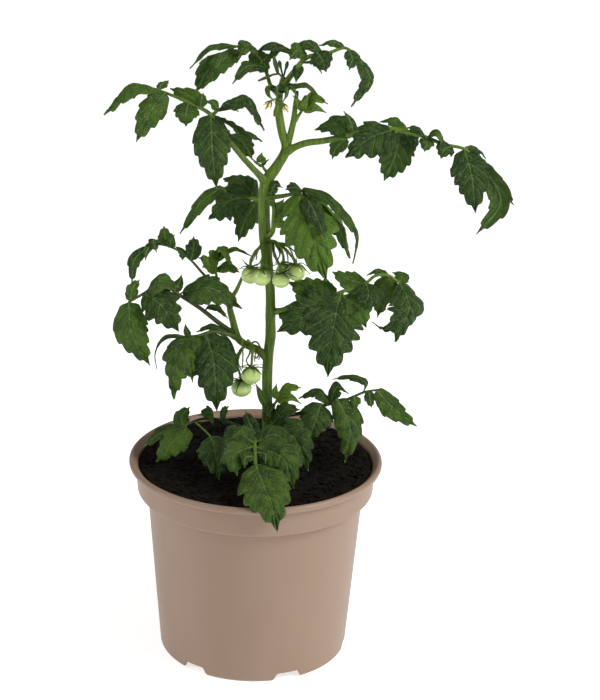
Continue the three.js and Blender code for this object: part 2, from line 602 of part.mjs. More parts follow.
// A compound leaf: stalk and leaflets as one piece, its foot cut clear of the stem
function compoundLeaf({ stalk, thick, blades }, fatStem) {
  const pieces = [tube(stalk, thick, STALK_SIDES)];
  blades.forEach((entry, index) => {
    const [wide, face] = entry.slice(-2);
    pieces.push(leaflet(stalk, entry.slice(0, -2), wide, face, index));
  });
  return wasm.Manifold.union(pieces).subtract(fatStem);
}

// The stem with its fork and side branch, larger all round by extra
function stemSolid(extra = 0) {
  return wasm.Manifold.union(Object.values(STEMS)
    .map(({ points, radii }) => tube(points, radii, STEM_SIDES, { extra, stride: STEM_STEP })));
}

// A turned solid from its profile, which starts and ends on the axis
function turned(profile, sides) {
  return new THREE.LatheGeometry(profile.map(([r, z]) => new THREE.Vector2(r, z)), sides)
    .rotateX(Math.PI / 2);
}

function potSolid() {
  const rim = POT_RIM_DIAMETER / 2;
  const footInside = BODY_FOOT_RADIUS - FOOT_RING_WIDTH;
  const floorTop = CHANNEL_HEIGHT + FLOOR;
  const slope = (BODY_TOP_RADIUS - BODY_FOOT_RADIUS) / COLLAR_FOOT_HEIGHT;
  const profile = [
    [0, 0],
    [CENTRE_PAD_RADIUS, 0],
    [CENTRE_PAD_RADIUS + 3, CHANNEL_HEIGHT],
    [footInside, CHANNEL_HEIGHT],
    [footInside, 0],
    [BODY_FOOT_RADIUS - FOOT_ROUNDING, 0],
    [BODY_FOOT_RADIUS + slope * FOOT_ROUNDING, FOOT_ROUNDING],
    [BODY_TOP_RADIUS, COLLAR_FOOT_HEIGHT - 0.8],
    [COLLAR_FOOT_RADIUS - 1, COLLAR_FOOT_HEIGHT - 0.5],
    [COLLAR_FOOT_RADIUS, COLLAR_FOOT_HEIGHT + 0.8],
    [COLLAR_TOP_RADIUS, POT_HEIGHT - LIP_DEPTH],
    [rim - 0.6, POT_HEIGHT - LIP_DEPTH],
    [rim, POT_HEIGHT - LIP_DEPTH + 1.2],
    [rim, POT_HEIGHT - 1.5],
    [rim - 2, POT_HEIGHT],
    [rim - LIP_WIDTH, POT_HEIGHT - 0.5],
    [rim - LIP_WIDTH - 1, POT_HEIGHT - 1.6],
    [COLLAR_TOP_RADIUS - THIN_WALL, POT_HEIGHT - LIP_SLOPE_DEPTH],
    [COLLAR_FOOT_RADIUS - WALL, COLLAR_FOOT_HEIGHT + WALL],
    [BODY_TOP_RADIUS - WALL, COLLAR_FOOT_HEIGHT + WALL - 1],
    [BODY_FOOT_RADIUS - WALL + slope * floorTop, floorTop],
    [CENTRE_PAD_RADIUS + 2, floorTop],
    [CENTRE_PAD_RADIUS - 1.5, FLOOR],
    [0, FLOOR],
  ];
  let pot = toSolid(turned(profile, POT_SIDES));
  for (let i = 0; i < NOTCHES; i++) {
    const angle = THREE.MathUtils.degToRad(FIRST_NOTCH_ANGLE + (360 / NOTCHES) * i);
    pot = pot.subtract(notch(angle));
  }
  for (let i = 0; i < DRAIN_HOLES; i++) {
    const angle = THREE.MathUtils.degToRad(FIRST_NOTCH_ANGLE + (360 / DRAIN_HOLES) * i);
    const hole = new THREE.CylinderGeometry(DRAIN_HOLE_RADIUS, DRAIN_HOLE_RADIUS, 20, 8)
      .rotateX(Math.PI / 2)
      .translate(DRAIN_HOLE_CIRCLE * Math.sin(angle), -DRAIN_HOLE_CIRCLE * Math.cos(angle), floorTop);
    pot = pot.subtract(toSolid(hole));
  }
  return pot;
}

// The wedge that one notch takes out of the foot ring, narrower at the top
function notch(angle) {
  const half = NOTCH_WIDTH / 2;
  const outline = new THREE.Shape([
    new THREE.Vector2(-half - 1, -1),
    new THREE.Vector2(half + 1, -1),
    new THREE.Vector2(half - 2.5, NOTCH_HEIGHT),
    new THREE.Vector2(-half + 2.5, NOTCH_HEIGHT),
  ]);
  const wedge = new THREE.ExtrudeGeometry(outline, { depth: 3 * FOOT_RING_WIDTH, bevelEnabled: false })
    .rotateX(Math.PI / 2)
    .translate(0, -BODY_FOOT_RADIUS + 2 * FOOT_RING_WIDTH, 0)
    .rotateZ(angle);
  return toSolid(wedge);
}

// The potting soil fills the pot, with an uneven top and a hole for the stem
function soilSolid(fatStem) {
  const floorTop = CHANNEL_HEIGHT + FLOOR;
  const slope = (BODY_TOP_RADIUS - BODY_FOOT_RADIUS) / COLLAR_FOOT_HEIGHT;
  const edge = COLLAR_TOP_RADIUS - THIN_WALL - GAP - 0.2;
  const profile = [
    [0, FLOOR + GAP],
    [CENTRE_PAD_RADIUS - 2, FLOOR + GAP],
    [CENTRE_PAD_RADIUS + 1.5, floorTop + GAP],
    [BODY_FOOT_RADIUS - WALL - GAP + slope * floorTop, floorTop + GAP],
    [BODY_TOP_RADIUS - WALL - GAP - 0.1, COLLAR_FOOT_HEIGHT + WALL + GAP],
    [COLLAR_FOOT_RADIUS - WALL - GAP, COLLAR_FOOT_HEIGHT + WALL + GAP + 0.2],
  ];
  for (let i = 0; i < SOIL_RINGS; i++) {
    profile.push([edge * (1 - i / SOIL_RINGS), SOIL_HEIGHT - (i === 0 ? 1.5 : 0)]);
  }
  profile.push([0, SOIL_HEIGHT]);
  const geometry = turned(profile, POT_SIDES);
  const place = geometry.attributes.position;
  for (let i = 0; i < place.count; i++) {
    if (place.getZ(i) < SOIL_HEIGHT - 3) continue;
    const x = place.getX(i);
    const y = place.getY(i);
    const swell = Math.sin(x / 9 + 1) * Math.cos(y / 11) + 0.5 * Math.sin(x / 5 - y / 6);
    place.setZ(i, place.getZ(i) + (SOIL_SWELL * swell) / 1.5);
  }
  return toSolid(geometry).subtract(fatStem);
}

// A fruit, flattened a little and dimpled where its stalk enters
function fruitSolid({ centre, radius, half }, extra = 0) {
  const profile = [];
  for (let i = 0; i <= FRUIT_ROWS; i++) {
    const angle = Math.PI * (i / FRUIT_ROWS - 0.5);
    const dimple = i === FRUIT_ROWS ? FRUIT_DIMPLE : 1;
    profile.push([(radius + extra) * Math.cos(angle), (half + extra) * Math.sin(angle) * dimple]);
  }
  profile[0][0] = 0;
  profile[FRUIT_ROWS][0] = 0;
  return toSolid(turned(profile, FRUIT_SIDES).translate(centre[0], centre[1], centre[2]));
}

// The star of sepals on top of a fruit, its points bent down past the fruit's shoulder
function calyx({ centre, radius, half }, turn) {
  const reach = SEPAL_REACH * radius;
  const outline = new THREE.Shape();
  for (let i = 0; i < 2 * SEPALS; i++) {
    const angle = turn + (Math.PI * i) / SEPALS;
    const span = i % 2 === 0 ? reach : CALYX_HEART;
    if (i === 0) outline.moveTo(span * Math.cos(angle), span * Math.sin(angle));
    else outline.lineTo(span * Math.cos(angle), span * Math.sin(angle));
  }
  outline.closePath();
  const star = new THREE.ExtrudeGeometry(outline, { depth: SEPAL_THICKNESS, bevelEnabled: false });
  const place = star.attributes.position;
  for (let i = 0; i < place.count; i++) {
    const share = Math.hypot(place.getX(i), place.getY(i)) / reach;
    place.setZ(i, place.getZ(i) + half + 2 * GAP - share * 0.25 * half);
  }
  return toSolid(star.translate(centre[0], centre[1], centre[2]));
}

// Fruit stalks with the sepals, cut clear of the stem and of the fruit
function trussSolid({ points, thick, fruits }, fatStem) {
  const pieces = [tube(points, thick, STALK_SIDES, { stride: TRUSS_STEP })];
  Object.entries(fruits).forEach(([name, path], index) => {
    const fruit = FRUITS[name];
    const top = [fruit.centre[0], fruit.centre[1], fruit.centre[2] + fruit.half + 2 * GAP];
    pieces.push(tube([...path, top], FRUIT_STALK_RADII, THIN_STALK_SIDES));
    pieces.push(calyx(fruit, index * 0.5));
  });
  const fatFruits = Object.keys(fruits).map((name) => fruitSolid(FRUITS[name], GAP));
  return wasm.Manifold.union(pieces).subtract(wasm.Manifold.union([fatStem, ...fatFruits]));
}

// A slim closed bud from neck to tip
function budSolid({ neck, tip, radius }) {
  const low = vector(neck);
  const high = vector(tip);
  const middle = low.clone().lerp(high, 0.5);
  return tube([neck, [middle.x, middle.y, middle.z], tip], [0.7 * radius, radius, 0.35], BUD_SIDES);
}

// Five half-open petals round the cone of anthers
function flowerSolid({ neck, tip, spread }, extra = 0) {
  const start = vector(neck);
  const axis = vector(tip).sub(start);
  const length = axis.length();
  const turn = new THREE.Quaternion().setFromUnitVectors(new THREE.Vector3(0, 0, 1), axis.normalize());
  const at = (radius, angle, height) => {
    const p = new THREE.Vector3(radius * Math.cos(angle), radius * Math.sin(angle), height);
    return p.applyQuaternion(turn).add(start).toArray();
  };
  const cone = [at(0, 0, 0.4), at(0, 0, length * 0.4), at(0, 0, length * 0.8)];
  const pieces = [tube(cone, ANTHER_RADII, BUD_SIDES, { extra, stride: FLOWER_STEP })];
  for (let i = 0; i < PETALS; i++) {
    const angle = (2 * Math.PI * i) / PETALS;
    const rib = [at(0.3, angle, 0.8), at(1 + 0.8 * spread, angle, 3.2), at(1.3 + 1.9 * spread, angle, 5.5)];
    pieces.push(tube(rib, PETAL_RADII, THIN_STALK_SIDES, { extra, stride: FLOWER_STEP }));
  }
  return wasm.Manifold.union(pieces);
}

// The flower and bud stalks at the top of the plant, with the closed green buds
function topTrussSolid(fatStem) {
  const pieces = [tube(FLOWER_STALK.points, FLOWER_STALK.thick, STALK_SIDES)];
  FLOWER_PEDICELS.forEach((path) => pieces.push(tube(path, [THIN_STALK, THIN_STALK], STALK_SIDES)));
  const fatFlowers = Object.values(FLOWERS).map((flower) => flowerSolid(flower, 2 * GAP));
  BUDS.filter((bud) => bud.neck[2] < CROWN_HEIGHT).forEach((bud) => {
    pieces.push(tube(bud.stalk, [THIN_STALK, THIN_STALK], THIN_STALK_SIDES), budSolid(bud));
  });
  return wasm.Manifold.union(pieces).subtract(wasm.Manifold.union([fatStem, ...fatFlowers]));
}

// The buds that stand on the very tip of the stem are fused to it
function crownBuds() {
  return BUDS.filter((bud) => bud.neck[2] >= CROWN_HEIGHT)
    .flatMap((bud) => [tube(bud.stalk, [THIN_STALK, THIN_STALK], THIN_STALK_SIDES), budSolid(bud)]);
}

function material(color, roughness) {
  return new THREE.MeshStandardMaterial({ color, roughness, metalness: 0 });
}

const POT_PLASTIC = material('#a78c78', 0.55);
const SOIL_MIX = material('#17110c', 1);
const STEM_GREEN = material('#6f8f45', 0.7);
const LEAF_GREEN = material('#2f5a2a', 0.6);
const FRUIT_GREEN = material('#bcd983', 0.3);
const FLOWER_YELLOW = material('#e6cf3a', 0.6);

const plant = new THREE.Group();

function addPiece(name, solid, finish) {
  const mesh = new THREE.Mesh(toGeometry(solid), finish);
  mesh.name = name;
  plant.add(mesh);
}

const fatStem = stemSolid(GAP);
addPiece('pot', potSolid(), POT_PLASTIC);
addPiece('soil', soilSolid(fatStem), SOIL_MIX);
addPiece('main_stem', wasm.Manifold.union([stemSolid(), ...crownBuds()]), STEM_GREEN);
for (const [name, leaf] of Object.entries(LEAVES)) {
  addPiece(name, compoundLeaf(leaf, fatStem), LEAF_GREEN);
}
for (const [name, truss] of Object.entries(TRUSSES)) {
  addPiece(name, trussSolid(truss, fatStem), STEM_GREEN);
}
for (const [name, fruit] of Object.entries(FRUITS)) {
  addPiece(name, fruitSolid(fruit), FRUIT_GREEN);
}
addPiece('truss_flowers', topTrussSolid(fatStem), STEM_GREEN);
for (const [name, flower] of Object.entries(FLOWERS)) {
  addPiece(name, flowerSolid(flower), FLOWER_YELLOW);
}

export default plant;
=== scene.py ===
"""A young tomato plant with green fruit in a plastic nursery pot, dressed round its CAD frame."""

import math
import random

import bpy
from mathutils import Euler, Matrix, Quaternion, Vector, noise


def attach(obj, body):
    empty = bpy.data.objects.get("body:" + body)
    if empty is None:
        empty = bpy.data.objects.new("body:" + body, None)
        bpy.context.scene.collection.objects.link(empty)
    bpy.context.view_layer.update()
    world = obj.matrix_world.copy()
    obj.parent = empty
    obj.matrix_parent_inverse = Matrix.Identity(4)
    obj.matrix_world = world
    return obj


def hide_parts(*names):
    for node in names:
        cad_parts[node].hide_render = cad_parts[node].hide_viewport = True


bl_info = {
    "name": "Potted Tomato Plant",
    "version": (1, 0, 0),
    "blender": (4, 5, 0),
    "location": "3D View > Sidebar > Tomato Plant",
    "description": "Builds a young tomato plant with green fruit in a nursery pot, and a pale studio",
    "category": "Add Mesh",
}

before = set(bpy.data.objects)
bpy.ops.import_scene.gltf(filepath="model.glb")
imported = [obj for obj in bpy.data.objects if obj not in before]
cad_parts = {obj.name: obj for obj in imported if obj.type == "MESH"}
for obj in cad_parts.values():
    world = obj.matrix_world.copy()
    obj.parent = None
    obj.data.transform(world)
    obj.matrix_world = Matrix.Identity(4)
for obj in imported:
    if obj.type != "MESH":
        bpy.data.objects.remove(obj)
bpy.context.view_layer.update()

# Shapes are worked out in millimetres, and this turns them into metres
MM = 0.001
FULL_TURN = 2 * math.pi
TINY = 1e-9
SHORTEST_STEP = 1e-6
SHARP_ANGLE = 60

# Pot
LIP_WIDTH = 3.4
LIP_SLOPE_DEPTH = 3.8
THIN_WALL = 1.4
LIP_DEPTH = 5
COLLAR_TOP_RADIUS = 89.8
COLLAR_FOOT_RADIUS = 88.8
COLLAR_FOOT_HEIGHT = 128.5
BODY_TOP_RADIUS = 81.3
BODY_FOOT_RADIUS = 70.9
WALL = 1.8
FLOOR = 2.4
CENTRE_PAD_RADIUS = 44
CHANNEL_HEIGHT = 8
FOOT_RING_WIDTH = 3.5
NOTCHES = 6
FIRST_NOTCH_ANGLE = -38
NOTCH_WIDTH = 22
NOTCH_HEIGHT = 6.5
DRAIN_HOLE_RADIUS = 5
DRAIN_HOLE_CIRCLE = 57
DRAIN_HOLE_SIDES = 32
POT_SIDES = 192
POT_ROUNDING = 1.1
POT_SHARP_ANGLE = 38
NOTCH_ROUNDING = 1.6
ROUNDING_ROOM = 0.45
ROUND_STEPS = 4
NOTCH_ROUND_STEPS = 5

# Soil
SOIL_SIDES = 160
SOIL_RINGS = 60
SOIL_SWELL = 0.96
SOIL_GRAIN = 1.1
SOIL_GRAIN_SCALE = 0.22
SOIL_GAP = 0.3
SOIL_EDGE_DROP = 1.5
SOIL_EDGE_WIDTH = 2.5
RING_CROWDING = 0.85
BARE_EDGE = 5
CRUMB_SIZES = (0.25, 1.0)
SMALL_CRUMB_POWER = 1.6
CRUMB_LIFT = 0.15

# The corners and the twenty faces of a crumb before it is turned and roughened
GOLDEN = (1 + math.sqrt(5)) / 2
LUMP_CORNERS = [(-1, GOLDEN, 0), (1, GOLDEN, 0), (-1, -GOLDEN, 0), (1, -GOLDEN, 0),
                (0, -1, GOLDEN), (0, 1, GOLDEN), (0, -1, -GOLDEN), (0, 1, -GOLDEN),
                (GOLDEN, 0, -1), (GOLDEN, 0, 1), (-GOLDEN, 0, -1), (-GOLDEN, 0, 1)]
LUMP_FACES = [(0, 11, 5), (0, 5, 1), (0, 1, 7), (0, 7, 10), (0, 10, 11), (1, 5, 9), (5, 11, 4),
              (11, 10, 2), (10, 7, 6), (7, 1, 8), (3, 9, 4), (3, 4, 2), (3, 2, 6), (3, 6, 8),
              (3, 8, 9), (4, 9, 5), (2, 4, 11), (6, 2, 10), (8, 6, 7), (9, 8, 1)]
LUMP_STRETCHES = [(0.7, 1.5), (0.7, 1.2), (0.5, 0.9)]
LUMP_UNEVENNESS = (0.7, 1.2)

# Tubes: stems, stalks and their hairs
STEM_SIDES = 24
STEM_STEP = 2.2
STEM_RIPPLE = 0.03
STEM_SWELL = 0.05
STEM_SWELL_REACH = 5
STALK_SIDES = 12
STALK_STEP = 1.6
STALK_RIPPLE = 0.05
STALK_FLARE = 1.45
STALK_FLARE_LENGTH = 4.0
THIN_STALK_SIDES = 10
THIN_STALK_RIPPLE = 0.04
THINNEST_SIDES = 8
RIBS = 5
RIB_WANDER_SCALE = 0.06
RIB_NOISE_SCALE = 0.3
END_BULGE = 0.6
FEWEST_STEPS = 3
HAIR_RADIUS = 0.07
HAIR_ROOT = 0.94
HAIR_LEAN = 0.4
HAIR_LENGTHS = (0.4, 1.2)
HAIRLESS_SHARE = 0.12
LEAF_HAIR_DENSITY = 0.7
LEAF_HAIR_LENGTH = 0.6
SPUR_RADIUS = 0.75
SPUR_TAPER = 0.5
SPUR_RIPPLE = 0.06
TRUSS_STEP = 1.2
THIN_STALK_STEP = 0.9
TRUSS_HAIR_DENSITY = 1.3
TRUSS_HAIR_LENGTH = 1.2
THIN_STALK_HAIR_LENGTH = 1.1
SPUR_HAIR_DENSITY = 2.2
SPUR_HAIR_LENGTH = 1.3
THIN_STALK_RADIUS = 0.9
KNUCKLE = 0.35
KNUCKLE_PLACE = 0.45
KNUCKLE_LENGTH = 0.07
STALK_CROWN = 0.5
STALK_CROWN_START = 0.85
BUD_STEP = 0.8
CONE_STEP = 0.5
CONE_RIPPLE = 0.08

# Blades
NECK_HALF_WIDTH = 0.6
TIP_HALF_WIDTH = 0.3
TEETH_BY_WIDTH = [[26, 5], [15, 4], [9, 3]]
TOOTHED_SHARE = 0.84
FIRST_NOTCH = 0.04
TOOTH_PLACE = 0.62
TOOTH_LEAN = 0.25
TOOTH_FALL = 1.3
NOTCH_DEPTH = 0.12
NOTCH_DEPTH_AT_FOOT = 1.15
NOTCH_FADE = 0.85
UNEVEN_NOTCHES = (0.1, 1.9)
DEEP_NOTCH_WIDTH = 30
DEEP_NOTCH_MORE = 0.12
WIDEST_POWER = 0.62
FULLNESS = 0.95
CRINKLE = 0.7
CRINKLE_SCALE = 0.22
FULL_CRINKLE_WIDTH = 18
PLAIN_PITCH = 0.2
VEIN_LAG = 1.5
MIDRIB_WIDTH = 0.9
MIDRIB_DEPTH = 0.45
FULL_MIDRIB_WIDTH = 14
QUILT_POWER = 0.7
QUILT_REACH = 1.05
DROOPS = (0.2, 0.34)
STRAIGHT_DROOP = 0.35
LIFT_GROWTH = 6
WAVE_BEATS = (1.6, 2.6)
ANY_SWING = 6.3
ROW_STEP = 0.95
COLUMN_STEP = 1.5
FEWEST_ROWS = 14
FEWEST_COLUMNS = 3
EDGE_THINNING = 0.5
RIB_BELOW = 0.5
DARKEST_TONES = 0.7
NECK_STALK_RADIUS = 0.75
NECK_STALK_TAPER = 0.25
NECK_STALK_STEP = 1.2
STALK_FINISH = 2

# Small blades: their thickness, wave and droop, and how close their points stand
SEPAL_LOOK = {"thick": 0.35, "quilt": 0, "wave": 0.1, "droop": 0.15, "row": 0.7, "column": 0.5}
BUD_LOOK = {"thick": 0.25, "quilt": 0, "wave": 0, "droop": 0.3, "row": 0.7, "column": 0.4}
PETAL_LOOK = {"thick": 0.3, "quilt": 0, "wave": 0.15, "droop": 0.25, "row": 0.5, "column": 0.5}
FLOWER_SEPAL_LOOK = {"thick": 0.3, "quilt": 0, "wave": 0, "droop": 0.1, "row": 0.5, "column": 0.5}

# Fruit
FRUIT_ROWS = 36
FRUIT_SIDES = 48
LOBES = 5
LOBE_DEPTH = 0.02
SHOULDER_PLACE = 0.22
DIMPLE_DEPTH = 0.16
DIMPLE_WIDTH = 0.28
FRUIT_STALK_END = 0.86

# Finish of blades: where each pattern fades in, how fine it is and how strong
MIDRIB_FADE = (0.25, 0.65)
SIDE_VEIN_FADE = (0.015, 0.085)
SIDE_VEIN_STRENGTH = 0.95
SMALL_VEINS = 3
SMALL_VEIN_SHIFT = 0.2
SMALL_VEIN_FADE = (0.03, 0.13)
SMALL_VEIN_STRENGTH = 0.25
VEIN_END_FADE = (0.55, 1.0)
VEIN_END_STRENGTH = 0.15
NET_SCALE = 480
NET_FADE = (0.0, 0.12)
EDGE_FADE = (0.93, 1.0)
NET_COLOUR_STRENGTH = 0.3
VEIN_COLOUR_STRENGTH = 0.85
EDGE_COLOUR_STRENGTH = 0.55
PATCH_SCALE = 130
PATCH_FADE = (0.3, 0.7)
PATCH_STRENGTH = 0.36
TONE_STRENGTH = 0.6
TONE_FADE = (0.1, 0.88)
PUCKER_SCALE = 420
VEIN_SINK = -0.6
NET_SINK = 0.35
LEAF_BUMP = 0.0017
UPPER_ROUGHNESS = 0.4
UNDER_ROUGHNESS = 0.6
ROUGHNESS_SPREAD = 0.18
# Pale down on the upper side, with painted glints of light on its hairs: how fine its speckles are, where
# they fade in, how strong and how pale
DOWN_GLINT_SCALE = 1000
DOWN_GLINT_FADE = (0.57, 0.7)
DOWN_GLINT_STRENGTH = 0.45
DOWN_GLINT_COLOUR = (0.50, 0.60, 0.40)
LEAF_GLOW = 0.4
GLOW_VEIN_STRENGTH = 0.4
LEAF_SPECULAR = 0.26

# Finish of stems, fruit, pot and soil
STREAK_SCALE = 520
STREAK_STRETCH = (1, 1, 0.12)
BLOTCH_SCALE = 45
STEM_SPECULAR = 0.25
STEM_BUMP = 0.0004
GREEN_ROUGHNESS = 0.5
PETAL_ROUGHNESS = 0.55
FRUIT_COAT = 0.35
FRUIT_COAT_ROUGHNESS = 0.08
POT_ROUGHNESS = (0.42, 0.52)
POT_CLOUD_SCALE = 14
POT_GRAIN_SCALE = 900
POT_BUMP = 0.0002
SOIL_COARSE_SCALE = 260
SOIL_FINE_SCALE = 1400
SOIL_BUMP = 0.0008

# How the UV maps of a blade keep millimetres and vein numbers between 0 and 1
VEIN_SPAN_MM = 60
VEIN_COUNT_SPAN = 40

# The way a blade's upper side looks at its middle
FRONT = (0.05, -1, 0.35)
FRONT_UP = (0, -0.7, 0.8)
UP = (0, -0.2, 1)
LEFT_UP = (-0.7, -0.1, 0.7)
RIGHT_UP = (0.7, -0.3, 0.7)
LEFT = (-0.7, -0.8, 0.3)
RIGHT = (0.6, -0.9, 0.3)
BACK = (0.2, 1, 0.2)
BACK_UP = (0.6, 0.5, 0.7)

# Main stem, its upper fork and the side branch: points from the root end, and radii at them
STEMS = {
    "trunk": {
        "points": [
            [7, 0, 104], [7.5, 0, 143], [8, 0, 175], [7.7, 0, 202], [7.5, 0, 222], [7.9, 0, 235],
            [9.3, 1, 250], [9, 1, 262], [8.4, 0, 288], [4.5, 0, 320], [3.1, 0, 343], [2.9, 0, 358],
            [4, 0, 368], [12, 3, 380], [18, 5, 392], [14.6, 6, 405], [12.2, 7, 421], [13.5, 8, 437],
            [15, 8, 444],
        ],
        "radii": [
            4.4, 4.4, 4.2, 3.8, 3.6, 3.8, 3.9, 3.8, 3.7, 3.5, 3.5, 3.8, 4.4, 4.1, 4, 3.4, 3, 2.6, 1.6,
        ],
    },
    "fork": {
        "points": [[18, 5, 390], [23, 4, 413], [24, 4, 425], [25, 6, 434]],
        "radii": [2.6, 2.3, 1.9, 1.2],
    },
    "branch": {
        "points": [
            [8, 0, 231], [1, -1, 239], [-7, -2, 243], [-14, -2, 248], [-18, 0, 260], [-21, 2, 275],
            [-16, 2, 285], [-12, 2, 295],
        ],
        "radii": [3, 2.9, 2.6, 2.7, 2.5, 1.9, 1.5, 1.1],
    },
}

